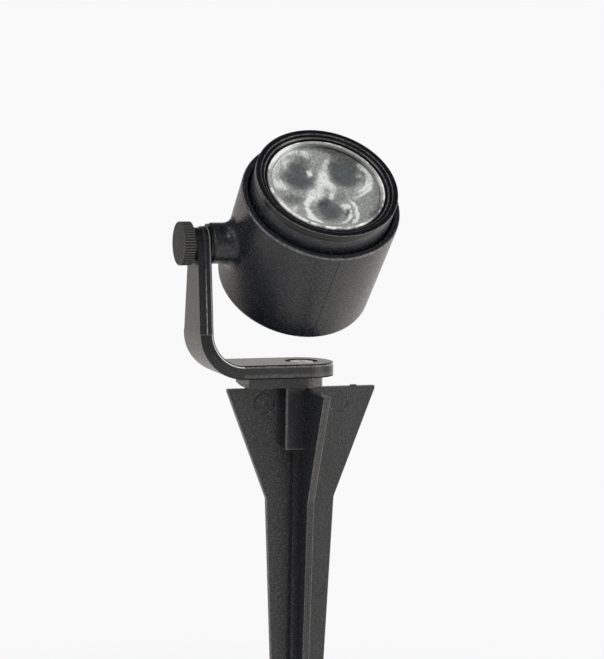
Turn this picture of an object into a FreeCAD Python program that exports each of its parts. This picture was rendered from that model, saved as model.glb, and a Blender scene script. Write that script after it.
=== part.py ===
import FreeCAD, Part
import math
import os
import re

import Sketcher
from FreeCAD import Placement, Rotation, Vector

# Garden spike spotlight: a cast head on a thumbscrew pivot, an L-shaped arm and a
# cross-section ground spike.  Lengths are in millimetres, angles in degrees.
#
# Frame: +Z up, with the origin on the spike's axis where its fins meet the ground
# line.  X runs along the tilt axis from the thumbscrew towards the head, and the
# head looks towards -Y.  Head pieces are drawn about their own Z, which points out
# of the lens, and "level" means a height along it, measured from the tilt axis.

os.makedirs("parts", exist_ok=True)
doc = FreeCAD.newDocument("GardenSpikeSpotlight")

# ---------------------------------------------------------------- driving sizes

sizes = {
    # fits
    "slipFit": 0.05,            # radial, pieces that are pushed together
    "runningFit": 0.07,         # radial, pieces that turn on each other
    "sideGap": 0.05,            # between flat faces that slide on each other
    "screwFit": 0.15,           # radial, screws through the boards
    "screwEnd": 0.3,            # space left beyond a screw's point
    "spare": 2.0,               # how far a cutting outline reaches past the piece

    # tilt pivot
    "aim": 46.5,                # lens axis above the horizon
    "headOffset": 0.8,          # head axis from the spike's axis
    "pivotHeight": 33.2,        # tilt axis above the foot's top face
    "studRadius": 2.5,
    "studSink": 2.6,            # depth of the stud in the thumbscrew

    # housing
    "rimRadius": 22.4,
    "backRadius": 21.9,
    "rimLevel": 17.8,
    "backDepth": 16.0,
    "backWall": 3.5,
    "shoulderDepth": 6.0,       # seat of the barrel, behind the tilt axis
    "chamberRadius": 18.8,
    "rimRound": 0.7,
    "rimBevel": 0.25,
    "backRound": 1.6,
    "bossRadius": 5.7,
    "bossReach": 28.45,         # boss face from the head's axis
    "bossRoot": 0.4,            # wall left between the boss and the bore
    "bossBlend": 3.0,
    "bossChamfer": 0.6,
    "boreFloor": 0.6,           # wall left between the tapped hole and the barrel's bore
    "partingWidth": 0.2,        # shallow line where the mould's halves met
    "partingDepth": 0.12,

    # barrel
    "barrelRadius": 20.6,
    "neckRadius": 20.0,
    "neckLevel": 12.5,
    "barrelLevel": 22.2,        # front end of the barrel, where the bezel starts
    "webLevel": 5.5,            # face that carries the lamp board
    "webThickness": 5.5,
    "recessRadius": 18.0,
    "shaftRadius": 17.0,        # bore round the optic
    "wireHole": 2.5,
    "ringGrooveLevel": 9.0,
    "ringGrooveWidth": 1.9,
    "ringSection": 0.8,         # radius of the O-ring's section

    # bezel and cover
    "bezelLevel": 24.25,
    "bezelLip": 18.4,
    "lipDepth": 0.5,
    "lipDraft": 0.15,
    "lipRound": 0.25,
    "windowRadius": 16.5,
    "grooveWidth": 0.7,         # groove in the bezel's ledge, round the cover
    "grooveDepth": 0.85,
    "grooveBevel": 0.4,
    "bezelRound": 0.15,
    "jointLine": 0.2,           # bevel each side of the line between bezel and barrel
    "skirtWall": 1.0,
    "skirtLength": 3.6,
    "glassRadius": 17.6,
    "glassThickness": 1.2,      # of the cover's face, wall and flange
    "glassSink": 0.2,           # of the cover's face below the bezel's ledge
    "glassBevel": 0.25,
    "gasketThickness": 1.0,
    "gasketWidth": 1.6,

    # optic
    "opticPlate": 1.6,
    "lensPitch": 8.1,           # lens centres from the axis
    "lensTop": 6.9,
    "lensFoot": 3.2,
    "lensGap": 0.3,             # between a lens and its lamp
    "holderWall": 1.6,

    # lamp board
    "padThickness": 0.5,
    "boardThickness": 1.6,
    "boardRadius": 16.5,
    "padInset": 0.3,
    "chipSide": 3.5,
    "chipHeight": 0.8,
    "domeRadius": 1.3,
    "boardScrewRadius": 1.45,
    "boardScrewHead": 2.7,
    "boardScrewHeadHeight": 1.7,
    "boardScrewLength": 6.0,
    "boardScrewRoom": 0.85,     # between a screw's head and the tube round the lenses

    # driver
    "driverRadius": 17.6,
    "postHeight": 3.5,
    "postRadius": 2.2,
    "postPitch": 14.4,
    "driverScrewRadius": 0.95,
    "driverScrewHead": 1.9,
    "driverScrewHeadHeight": 1.2,
    "driverScrewLength": 4.4,
    "capacitorRadius": 3.15,
    "capacitorHeight": 5.4,
    "inductorRadius": 3.6,
    "inductorHeight": 4.0,
    "rectifierLength": 6.2,
    "rectifierWidth": 3.9,
    "rectifierHeight": 1.8,
    "componentPitch": 9.0,
    "leadRadius": 0.65,
    "leadSpread": 1.2,

    # cable gland
    "glandRadius": 6.0,
    "glandStem": 6.2,
    "glandFlats": 15.0,         # across flats of the body and of its nut
    "glandHex": 3.6,
    "glandNut": 2.4,
    "glandWasher": 0.8,
    "capRadius": 7.2,
    "capMouth": 5.0,
    "capTaper": 2.0,
    "capLength": 8.4,
    "sealRadius": 4.4,
    "sealLength": 6.6,
    "sealProud": 1.0,           # seal beyond the end of the gland's stem
    "cableRadius": 3.0,
    "cableRoom": 0.4,           # radial, round the cable everywhere but in the seal

    # arm and foot
    "plate": 3.85,              # thickness of the arm and of the foot
    "eyeRadius": 4.75,
    "footHalfWidth": 8.95,
    "bendRadius": 8.7,
    "sideBlend": 30.0,          # arc between the arm's flanks and the foot's sides
    "armStep": 0.35,            # outer half of the arm's edge stands back by this
    "armEdge": 0.5,
    "screwRadius": 1.95,
    "screwHead": 3.65,
    "screwHeadHeight": 2.1,
    "screwCrown": 0.5,
    "screwReach": 13.0,         # shank below the ground line
    "screwPoint": 1.2,
    "slotLength": 2.2,          # half sizes of the cross recess
    "slotWidth": 0.45,
    "slotDepth": 1.3,
    "counterboreRadius": 4.65,
    "counterboreDepth": 2.3,

    # thumbscrew and washers
    "knobRadius": 6.05,
    "knobLength": 3.7,
    "knobChamfer": 0.3,
    "knobNeck": 4.9,
    "knobTaper": 0.7,
    "knobRibs": 49,
    "ribGap": 0.38,             # width and depth of the grooves between the ribs
    "ribDepth": 0.24,
    "knobBand": 0.75,           # plain band in front of the ribs
    "studTaper": 0.5,
    "studEnd": 0.1,             # space left beyond the stud
    "washerThickness": 0.5,
    "lockWasherRadius": 4.5,
    "frictionWasherRadius": 5.4,

    # spike
    "blockHeight": 3.6,         # top of the block between the foot and the fins
    "blockFoot": 0.6,           # its underside, clear of the fins' tops
    "blockHalfWidth": 6.0,
    "blockTail": 17.3,
    "bevelWidth": 4.6,
    "bevelHeight": 0.7,
    "fin": 2.0,                 # fin thickness
    "finRound": 0.3,
    "finLand": 0.8,             # upright end of a fin, above its slope
    "spikeHalfTop": 21.75,
    "spikeHalfWaist": 10.0,
    "spikeHalfShank": 5.0,
    "spikeHalfTip": 0.9,
    "flareDepth": 31.2,
    "shankDepth": 140.0,
    "spikeDepth": 165.0,
    "coreHalf": 3.0,
    "coreTip": 0.9,
    "bossHalfWide": 6.2,
    "bossHalfDeep": 5.6,
    "spikeBossDepth": 17.0,
    "spikeBossRound": 0.8,
    "spikeBossRoot": 1.4,
    "gateSpread": 15.6,
    "gateWidth": 1.6,
    "gateHeight": 0.35,
    "gateThickness": 1.2,
    "gateRoot": 0.5,
    "markDepth": 0.15,
    "upperMarkRadius": 2.65,
    "upperMarkSpread": 10.95,
    "upperMarkDepth": 4.3,
    "lowerMarkRadius": 2.25,
    "lowerMarkSpread": 5.5,
    "lowerMarkDepth": 57.4,
}

sheet = doc.addObject("Spreadsheet::Sheet", "Sizes")
for row, (alias, number) in enumerate(sizes.items(), start=1):
    sheet.set("A%d" % row, alias)
    sheet.set("B%d" % row, str(number))
    sheet.setAlias("B%d" % row, alias)
doc.recompute()

# ------------------------------------------------- formulas over those sizes

derived = {
    "footTop": "blockHeight + plate",
    "pivotLevel": "footTop + pivotHeight",
    # lean of the arm's flanks: a line that touches both the eye and the side blends
    "blendInset": "sideBlend - footHalfWidth",
    "lean": "asin((sideBlend - eyeRadius) / sqrt(blendInset ^ 2 + pivotHeight ^ 2))"
            " - atan(blendInset / pivotHeight)",

    # places along the tilt axis, measured from the spike's axis towards the thumbscrew
    "bossFace": "bossReach - headOffset",
    "armInner": "bossFace + washerThickness + sideGap",
    "armOuter": "armInner + plate",
    "lockWasherFace": "armOuter + sideGap",
    "knobSeat": "lockWasherFace + washerThickness",

    # levels along the head's axis
    "floorLevel": "backWall - backDepth",
    "boreRadius": "barrelRadius + slipFit",
    "bossBore": "bossReach - boreRadius - boreFloor",
    "skirtRadius": "glassRadius + slipFit + skirtWall",
    "mouthRadius": "skirtRadius + slipFit",
    "glassLevel": "barrelLevel - glassThickness",
    "gasketLevel": "glassLevel - gasketThickness",
    "plateLevel": "gasketLevel - opticPlate",
    "ledgeLevel": "bezelLevel - lipDepth",
    "grooveRadius": "windowRadius + grooveWidth",
    "glassFace": "ledgeLevel - glassSink",
    "glassInside": "glassFace - glassThickness",
    "glassBore": "windowRadius - slipFit - glassThickness",
    "holderBore": "shaftRadius - slipFit - holderWall",
    "boardScrewPitch": "holderBore - boardScrewHead - boardScrewRoom",
    "boardLevel": "webLevel + padThickness",
    "chipLevel": "boardLevel + boardThickness",
    "domeLevel": "chipLevel + chipHeight",
    "driverBack": "floorLevel + postHeight",
    "driverFront": "driverBack + boardThickness",
}


def formula(text):
    """Write out the derived names in a formula and point the rest at the sheet."""
    def cell(match):
        word = match.group(0)
        if word in derived:
            return "(" + formula(derived[word]) + ")"
        return "Sizes." + word if word in sizes else word
    return re.sub(r"[A-Za-z]\w*", cell, text)


def value(text):
    """A formula's number, used to draw a sketch before its constraints hold it."""
    return float(sheet.evalExpression(formula(text)))


# --------------------------------------------------------- ways of drawing

pieces = []


def newBody(label):
    body = doc.addObject("PartDesign::Body", label)
    body.Label = label
    pieces.append(body)
    return body


def newSketch(body, role, offset="0"):
    plane = next(item for item in body.Origin.OriginFeatures if item.Role == role)
    sketch = body.newObject("Sketcher::SketchObject", body.Name + "_sketch")
    sketch.AttachmentSupport = [(plane, "")]
    sketch.MapMode = "FlatFace"
    sketch.setExpression("AttachmentOffset.Base.z", formula(offset))
    return sketch


def hold(sketch, kind, where, text):
    """Add a driven constraint whose size is a formula."""
    index = sketch.addConstraint(Sketcher.Constraint(kind, *where, value(text)))
    sketch.setExpression("Constraints[%d]" % index, formula(text))


def joinEnds(sketch, lines, others):
    for line, other in zip(lines, others):
        sketch.addConstraint(Sketcher.Constraint("Coincident", line, 2, other, 1))


def path(sketch, corners):
    """Joined straight lines; every corner but the last is held by its own formulas."""
    spots = [Vector(value(across), value(up), 0) for across, up in corners]
    lines = [sketch.addGeometry(Part.LineSegment(start, end))
             for start, end in zip(spots, spots[1:])]
    joinEnds(sketch, lines, lines[1:])
    for line, (across, up) in zip(lines, corners):
        hold(sketch, "DistanceX", (line, 1), across)
        hold(sketch, "DistanceY", (line, 1), up)
    return lines


def outline(sketch, corners):
    """A closed outline of straight lines."""
    lines = path(sketch, corners + corners[:1])
    joinEnds(sketch, lines[-1:], lines)


def arc(sketch, across, up, radius, start, end):
    """An arc with its centre held; the angles, in radians, only say where it starts out."""
    centre = Vector(value(across), value(up), 0)
    curve = Part.ArcOfCircle(Part.Circle(centre, Vector(0, 0, 1), value(radius)), start, end)
    number = sketch.addGeometry(curve)
    hold(sketch, "DistanceX", (number, 3), across)
    hold(sketch, "DistanceY", (number, 3), up)
    return number


def circle(sketch, radius, across="0", up="0"):
    centre = Vector(value(across), value(up), 0)
    ring = sketch.addGeometry(Part.Circle(centre, Vector(0, 0, 1), value(radius)))
    hold(sketch, "Radius", (ring,), radius)
    hold(sketch, "DistanceX", (ring, 3), across)
    hold(sketch, "DistanceY", (ring, 3), up)


def hexagon(sketch, flats):
    corner = "(%s) / sqrt(3)" % flats
    outline(sketch, [("(%s) * cos(%d deg)" % (corner, turn), "(%s) * sin(%d deg)" % (corner, turn))
                     for turn in range(0, 360, 60)])


def feature(body, kind, sketch, **settings):
    item = body.newObject("PartDesign::" + kind, body.Name + "_" + kind.lower())
    item.Profile = sketch
    for name, setting in settings.items():
        if isinstance(setting, str) and name in ("Length", "Angle"):
            item.setExpression(name, formula(setting))
        else:
            setattr(item, name, setting)
    doc.recompute()
    body.Tip = item
    return item


def pad(body, sketch, length, **settings):
    return feature(body, "Pad", sketch, Length=length, **settings)


def pocket(body, sketch, length=None, **settings):
    """Cut a sketch out of the body, and stop if nothing was cut."""
    before = body.Shape.Volume
    if length is None:
        item = feature(body, "Pocket", sketch, Type="ThroughAll", **settings)
    else:
        item = feature(body, "Pocket", sketch, Length=length, **settings)
    if body.Shape.Volume > before - 1e-4:
        raise RuntimeError(body.Label + ": a pocket cut nothing")
    return item


def turn(body, corners, axis="V_Axis", cut=False, role="XZ_Plane"):
    """Revolve an outline of (radius, height) corners, or cut it as a groove."""
    sketch = newSketch(body, role)
    outline(sketch, corners)
    return feature(body, "Groove" if cut else "Revolution", sketch,
                   ReferenceAxis=(sketch, [axis]), Angle=360.0)


def soften(body, kind, edges, size):
    """Round or chamfer the named edges of the body's last feature."""
    base = body.Tip
    item = body.newObject("PartDesign::" + kind, body.Name + "_" + kind.lower())
    item.Base = (base, edges)
    item.setExpression("Radius" if kind == "Fillet" else "Size", formula(size))
    doc.recompute()
    body.Tip = item
    return item


def edgesWhere(body, test):
    """Names of the edges of the body's last feature that pass a test."""
    return ["Edge%d" % number for number, edge in enumerate(body.Tip.Shape.Edges, start=1)
            if test(edge)]


def isRing(radius, level):
    """Test for a whole circle about Z of this radius at this height."""
    def test(edge):
        curve = edge.Curve
        return (isinstance(curve, Part.Circle) and abs(curve.Radius - value(radius)) < 1e-3
                and abs(curve.Center.z - value(level)) < 1e-3 and abs(curve.Axis.z) > 0.99)
    return test


def ringOutline(inner, outer, low, high):
    return [(inner, low), (outer, low), (outer, high), (inner, high)]


def seatOnHead(item):
    """Turn a piece drawn about its own Z into the head's place and aim."""
    item.Placement = Placement(Vector(), Rotation(Vector(1, 0, 0), 45))
    item.setExpression("Placement.Rotation.Angle", formula("90 - aim"))
    item.setExpression("Placement.Base.x", formula("headOffset"))
    item.setExpression("Placement.Base.z", formula("pivotLevel"))


def seatOnPivot(item):
    """Put a piece drawn about the X axis on the tilt axis."""
    item.Placement = Placement(Vector(), Rotation())
    item.setExpression("Placement.Base.z", formula("pivotLevel"))


def cylinder(name, radius, low, high, across="0", up="0"):
    item = doc.addObject("Part::Cylinder", name)
    item.setExpression("Radius", formula(radius))
    item.setExpression("Height", formula("(%s) - (%s)" % (high, low)))
    item.setExpression("Placement.Base.x", formula(across))
    item.setExpression("Placement.Base.y", formula(up))
    item.setExpression("Placement.Base.z", formula(low))
    return item


def box(name, wide, deep, low, high, across="0", up="0"):
    """A box centred on a spot of the board."""
    item = doc.addObject("Part::Box", name)
    item.setExpression("Length", formula(wide))
    item.setExpression("Width", formula(deep))
    item.setExpression("Height", formula("(%s) - (%s)" % (high, low)))
    item.setExpression("Placement.Base.x", formula("(%s) - (%s) / 2" % (across, wide)))
    item.setExpression("Placement.Base.y", formula("(%s) - (%s) / 2" % (up, deep)))
    item.setExpression("Placement.Base.z", formula(low))
    return item


def join(name, parts):
    item = doc.addObject("Part::MultiFuse", name)
    item.Shapes = parts
    return item


def group(label, parts):
    """Several separate solids kept in one node."""
    item = doc.addObject("Part::Compound", label)
    item.Label = label
    item.Links = parts
    pieces.append(item)
    return item


def polar(pitch, turns):
    """Formulas of spots at one distance from the axis."""
    return [("(%s) * cos(%d deg)" % (pitch, angle), "(%s) * sin(%d deg)" % (pitch, angle))
            for angle in turns]


lensTurns = (-90, 30, 150)      # one lens below, two above
screwTurns = (90, 210, 330)     # between the lenses

# ------------------------------------------------------------------- housing


def makeHousing():
    """Cast cup with a side boss for the thumbscrew and posts for the driver."""
    body = newBody("head_housing")
    turn(body, [
        ("glandRadius + slipFit", "-backDepth"), ("backRadius", "-backDepth"),
        ("rimRadius", "rimLevel"), ("boreRadius", "rimLevel"),
        ("boreRadius", "-shoulderDepth"), ("chamberRadius", "-shoulderDepth"),
        ("chamberRadius", "floorLevel"), ("glandRadius + slipFit", "floorLevel"),
    ])
    boss = newSketch(body, "YZ_Plane", "-bossReach")
    circle(boss, "bossRadius")
    pad(body, boss, "bossReach - boreRadius - bossRoot")

    def onBossFace(edge):
        return abs(edge.CenterOfMass.x + value("bossReach")) < 1e-3

    def onBossRoot(edge):
        freeform = not isinstance(edge.Curve, (Part.Circle, Part.Line))
        return freeform and abs(edge.CenterOfMass.x + value("backRadius")) < value("bossRoot + 1")
    soften(body, "Chamfer", edgesWhere(body, onBossFace), "bossChamfer")
    soften(body, "Fillet", edgesWhere(body, onBossRoot), "bossBlend")
    soften(body, "Fillet", edgesWhere(body, isRing("rimRadius", "rimLevel")), "rimRound")
    soften(body, "Chamfer", edgesWhere(body, isRing("boreRadius", "rimLevel")), "rimBevel")
    soften(body, "Fillet", edgesWhere(body, isRing("backRadius", "-backDepth")), "backRound")

    hole = newSketch(body, "YZ_Plane", "-bossReach")
    circle(hole, "studRadius + runningFit")
    pocket(body, hole, "bossBore", Reversed=True)

    for side in ("-", ""):
        parting = newSketch(body, "YZ_Plane")
        outline(parting, [
            (side + "(rimRadius - partingDepth)", "rimLevel"),
            (side + "(rimRadius + spare)", "rimLevel"),
            (side + "(rimRadius + spare)", "-backDepth"),
            (side + "(backRadius - partingDepth)", "-backDepth"),
        ])
        pocket(body, parting, "partingWidth", SideType="Symmetric")

    for across, up in polar("postPitch", screwTurns):
        post = newSketch(body, "XY_Plane", "floorLevel")
        circle(post, "postRadius", across, up)
        circle(post, "driverScrewRadius + slipFit", across, up)
        pad(body, post, "postHeight")
    seatOnHead(body)


def makeBarrel():
    """Heat-sink barrel that carries the lamp board on its web and takes the bezel's thread."""
    body = newBody("inner_barrel")
    groove = "barrelRadius - 2 * ringSection"
    turn(body, [
        ("wireHole", "webLevel - webThickness"), ("recessRadius", "webLevel - webThickness"),
        ("recessRadius", "-shoulderDepth"), ("barrelRadius", "-shoulderDepth"),
        ("barrelRadius", "ringGrooveLevel"), (groove, "ringGrooveLevel"),
        (groove, "ringGrooveLevel + ringGrooveWidth"),
        ("barrelRadius", "ringGrooveLevel + ringGrooveWidth"),
        ("barrelRadius", "neckLevel"), ("neckRadius", "neckLevel"),
        ("neckRadius", "barrelLevel - jointLine"), ("neckRadius - jointLine", "barrelLevel"),
        ("mouthRadius", "barrelLevel"),
        ("mouthRadius", "plateLevel"), ("shaftRadius", "plateLevel"),
        ("shaftRadius", "webLevel"), ("wireHole", "webLevel"),
    ])
    holes = newSketch(body, "XY_Plane", "webLevel")
    for across, up in polar("boardScrewPitch", screwTurns):
        circle(holes, "boardScrewRadius + slipFit", across, up)
    pocket(body, holes, "boardScrewLength - boardThickness - padThickness + screwEnd")
    seatOnHead(body)


def makeBezel():
    """Screw ring with a ledge and a groove round the cover, which it holds by its flange."""
    body = newBody("bezel_ring")
    turn(body, [
        ("skirtRadius - skirtWall", "barrelLevel - skirtLength"),
        ("skirtRadius", "barrelLevel - skirtLength"), ("skirtRadius", "barrelLevel"),
        ("neckRadius - jointLine", "barrelLevel"), ("neckRadius", "barrelLevel + jointLine"),
        ("neckRadius", "bezelLevel"),
        ("bezelLip", "bezelLevel"), ("bezelLip - lipDraft", "ledgeLevel"),
        ("grooveRadius + grooveBevel", "ledgeLevel"), ("grooveRadius", "ledgeLevel - grooveBevel"),
        ("grooveRadius", "ledgeLevel - grooveDepth"), ("windowRadius", "ledgeLevel - grooveDepth"),
        ("windowRadius", "barrelLevel"), ("skirtRadius - skirtWall", "barrelLevel"),
    ])
    soften(body, "Fillet", edgesWhere(body, isRing("neckRadius", "bezelLevel")), "bezelRound")
    soften(body, "Fillet", edgesWhere(body, isRing("bezelLip", "bezelLevel")), "lipRound")
    seatOnHead(body)


def makeRings():
    """The round pieces stacked on the head's axis; the cover is a shallow cap with a flange."""
    stack = {
        "front_glass": [
            ("0", "glassInside"), ("glassBore", "glassInside"), ("glassBore", "glassLevel"),
            ("glassRadius", "glassLevel"), ("glassRadius", "barrelLevel"),
            ("windowRadius - slipFit", "barrelLevel"),
            ("windowRadius - slipFit", "glassFace - glassBevel"),
            ("windowRadius - slipFit - glassBevel", "glassFace"), ("0", "glassFace"),
        ],
        "glass_gasket": ringOutline("glassRadius - gasketWidth", "glassRadius",
                                    "gasketLevel", "glassLevel"),
        "optic_holder": ringOutline("holderBore", "shaftRadius - slipFit",
                                    "chipLevel", "plateLevel"),
    }
    for label, corners in stack.items():
        body = newBody(label)
        turn(body, corners)
        seatOnHead(body)


def makeSealRing():
    """O-ring in the barrel's groove, held against the housing's bore."""
    ring = doc.addObject("Part::Torus", "seal_ring_torus")
    ring.setExpression("Radius1", formula("barrelRadius - ringSection"))
    ring.setExpression("Radius2", formula("ringSection - slipFit / 2"))
    ring.setExpression("Placement.Base.z", formula("ringGrooveLevel + ringGrooveWidth / 2"))
    seatOnHead(group("barrel_o_ring", [ring]))


def makeOptic():
    """Clear plate, raised into the cover, with three cone-shaped collimators."""
    body = newBody("triple_optic")
    raised = "glassBore - slipFit"
    turn(body, [
        ("0", "plateLevel"), ("glassRadius - slipFit", "plateLevel"),
        ("glassRadius - slipFit", "gasketLevel"), (raised, "gasketLevel"),
        (raised, "glassInside - sideGap"), ("0", "glassInside - sideGap"),
    ])
    for across, up in polar("lensPitch", lensTurns):
        top = newSketch(body, "XY_Plane", "plateLevel")
        circle(top, "lensTop", across, up)
        foot = newSketch(body, "XY_Plane", "domeLevel + domeRadius + lensGap")
        circle(foot, "lensFoot", across, up)
        cone = body.newObject("PartDesign::AdditiveLoft", "lens")
        cone.Profile = top
        cone.Sections = [foot]
        doc.recompute()
        body.Tip = cone
    seatOnHead(body)


def makeLampBoard():
    """Round metal-core board with its pad, lamps and screws."""
    for label, radius, low, high in (
            ("thermal_pad", "boardRadius - padInset", "webLevel", "boardLevel"),
            ("led_board", "boardRadius", "boardLevel", "chipLevel")):
        body = newBody(label)
        disc = newSketch(body, "XY_Plane", low)
        circle(disc, radius)
        for across, up in polar("boardScrewPitch", screwTurns):
            circle(disc, "boardScrewRadius + screwFit", across, up)
        if label == "thermal_pad":
            circle(disc, "wireHole")
        pad(body, disc, "(%s) - (%s)" % (high, low))
        seatOnHead(body)

    lamps = []
    for number, (across, up) in enumerate(polar("lensPitch", lensTurns)):
        base = box("chip_base%d" % number, "chipSide", "chipSide", "chipLevel", "domeLevel",
                   across, up)
        dome = doc.addObject("Part::Sphere", "chip_dome%d" % number)
        dome.Angle1 = 0
        dome.setExpression("Radius", formula("domeRadius"))
        dome.setExpression("Placement.Base.x", formula(across))
        dome.setExpression("Placement.Base.y", formula(up))
        dome.setExpression("Placement.Base.z", formula("domeLevel"))
        lamps.append(join("chip%d" % number, [base, dome]))
    seatOnHead(group("led_packages", lamps))
    screwSet("board_screws", "boardScrewPitch", "chipLevel", "boardScrewRadius",
             "boardScrewLength", "boardScrewHead", "boardScrewHeadHeight")


def screwSet(label, pitch, level, radius, length, head, height):
    """Pan-head screws with their heads on one level, as one node."""
    screws = []
    for number, (across, up) in enumerate(polar(pitch, screwTurns)):
        shank = cylinder("%s_shank%d" % (label, number), radius,
                         "(%s) - (%s)" % (level, length), level, across, up)
        cap = cylinder("%s_head%d" % (label, number), head, level,
                       "(%s) + (%s)" % (level, height), across, up)
        screws.append(join("%s_screw%d" % (label, number), [shank, cap]))
    seatOnHead(group(label, screws))


def makeDriver():
    """Driver board on the housing's posts, its large components and the lamp leads."""
    body = newBody("driver_board")
    disc = newSketch(body, "XY_Plane", "driverBack")
    circle(disc, "driverRadius")
    for across, up in polar("postPitch", screwTurns):
        circle(disc, "driverScrewRadius + screwFit", across, up)
    pad(body, disc, "boardThickness")
    seatOnHead(body)

    spots = polar("componentPitch", (0, 120, 240))
    capacitor = cylinder("capacitor_can", "capacitorRadius", "driverFront",
                         "driverFront + capacitorHeight", *spots[0])
    seatOnHead(group("driver_capacitor", [capacitor]))
    spool = cylinder("inductor_spool", "inductorRadius", "driverFront",
                     "driverFront + inductorHeight", *spots[1])
    seatOnHead(group("driver_inductor", [spool]))
    chip = box("rectifier_chip", "rectifierLength", "rectifierWidth", "driverFront",
               "driverFront + rectifierHeight", *spots[2])
    seatOnHead(group("driver_rectifier", [chip]))
    screwSet("driver_screws", "postPitch", "driverFront", "driverScrewRadius",
             "driverScrewLength", "driverScrewHead", "driverScrewHeadHeight")
    leads = [cylinder("lead%d" % number, "leadRadius", "driverFront", "boardLevel",
                      side + " * leadSpread")
             for number, side in enumerate(("-1", "1"))]
    seatOnHead(group("led_leads", leads))


def makeGland():
    """Cable gland through the back wall: hexagon body, lock nut, washer, seal and cap."""
    body = newBody("gland_body")
    seat = "-backDepth - glandWasher"
    hexBack = seat + " - glandHex"
    stemBack = hexBack + " - sealLength + sealProud"
    stemFront = "floorLevel + glandStem - backWall"
    bore = "cableRadius + cableRoom"
    turn(body, [
        (bore, stemFront), (bore, hexBack), ("sealRadius", hexBack), ("sealRadius", stemBack),
        ("glandRadius", stemBack), ("glandRadius", stemFront),
    ])
    flange = newSketch(body, "XY_Plane", hexBack)
    hexagon(flange, "glandFlats")
    circle(flange, bore)
    pad(body, flange, "glandHex")
    seatOnHead(body)

    nut = newBody("gland_nut")
    plate = newSketch(nut, "XY_Plane", "floorLevel")
    hexagon(plate, "glandFlats")
    circle(plate, "glandRadius + slipFit")
    pad(nut, plate, "glandNut")
    seatOnHead(nut)

    rounds = {
        "gland_washer": ringOutline("glandRadius + slipFit", "glandFlats / 2", seat, "-backDepth"),
        "gland_seal": ringOutline("cableRadius", "sealRadius - slipFit",
                                  hexBack + " - sealLength", hexBack),
        "gland_cap": [
            ("glandRadius + slipFit", hexBack), ("capRadius", hexBack),
            ("capRadius", hexBack + " - capLength + capTaper"),
            ("capMouth", hexBack + " - capLength"), (bore, hexBack + " - capLength"),
            (bore, hexBack + " - sealLength"), ("glandRadius + slipFit", hexBack + " - sealLength"),
        ],
    }
    for label, corners in rounds.items():
        body = newBody(label)
        turn(body, corners)
        seatOnHead(body)


def makeThumbscrew():
    """Ribbed knob, its stud and the washers each side of the arm's eye, along the tilt axis."""
    front = "-knobSeat - knobLength"
    knob = newBody("thumb_knob")
    turn(knob, [
        ("-knobSeat", "studRadius + slipFit"), ("-knobSeat", "knobNeck"),
        ("-knobSeat - knobTaper", "knobRadius"), (front + " + knobChamfer", "knobRadius"),
        (front, "knobRadius - knobChamfer"), (front, "0"),
        ("-knobSeat - studSink", "0"), ("-knobSeat - studSink", "studRadius + slipFit"),
    ], axis="H_Axis")
    notch = newSketch(knob, "YZ_Plane", "-knobSeat")
    outline(notch, [("0", "knobRadius - ribDepth"), ("ribGap / 2", "knobRadius"),
                    ("ribGap / 2", "knobRadius + spare"), ("-ribGap / 2", "knobRadius + spare"),
                    ("-ribGap / 2", "knobRadius")])
    cut = pocket(knob, notch, "knobLength - knobBand")
    ribs = knob.newObject("PartDesign::PolarPattern", "rib_pattern")
    ribs.Originals = [cut]
    ribs.Axis = (next(item for item in knob.Origin.OriginFeatures if item.Role == "X_Axis"), [""])
    ribs.setExpression("Occurrences", formula("knobRibs"))
    doc.recompute()
    knob.Tip = ribs
    seatOnPivot(knob)

    stud = newBody("knob_stud")
    point = "-bossFace + bossBore - studEnd"
    turn(stud, [
        ("-knobSeat - studSink", "0"), ("-knobSeat - studSink", "studRadius"),
        (point + " - studTaper", "studRadius"), (point, "studRadius - studTaper"), (point, "0"),
    ], axis="H_Axis")
    seatOnPivot(stud)

    for label, outer, low in (("lock_washer", "lockWasherRadius", "lockWasherFace"),
                              ("friction_washer", "frictionWasherRadius", "bossFace")):
        washer = newBody(label)
        near, far = "-(%s)" % low, "-(%s) - washerThickness" % low
        hole = "studRadius + 2 * runningFit"
        turn(washer, [(near, hole), (near, outer), (far, outer), (far, hole)], axis="H_Axis")
        seatOnPivot(washer)


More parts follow.
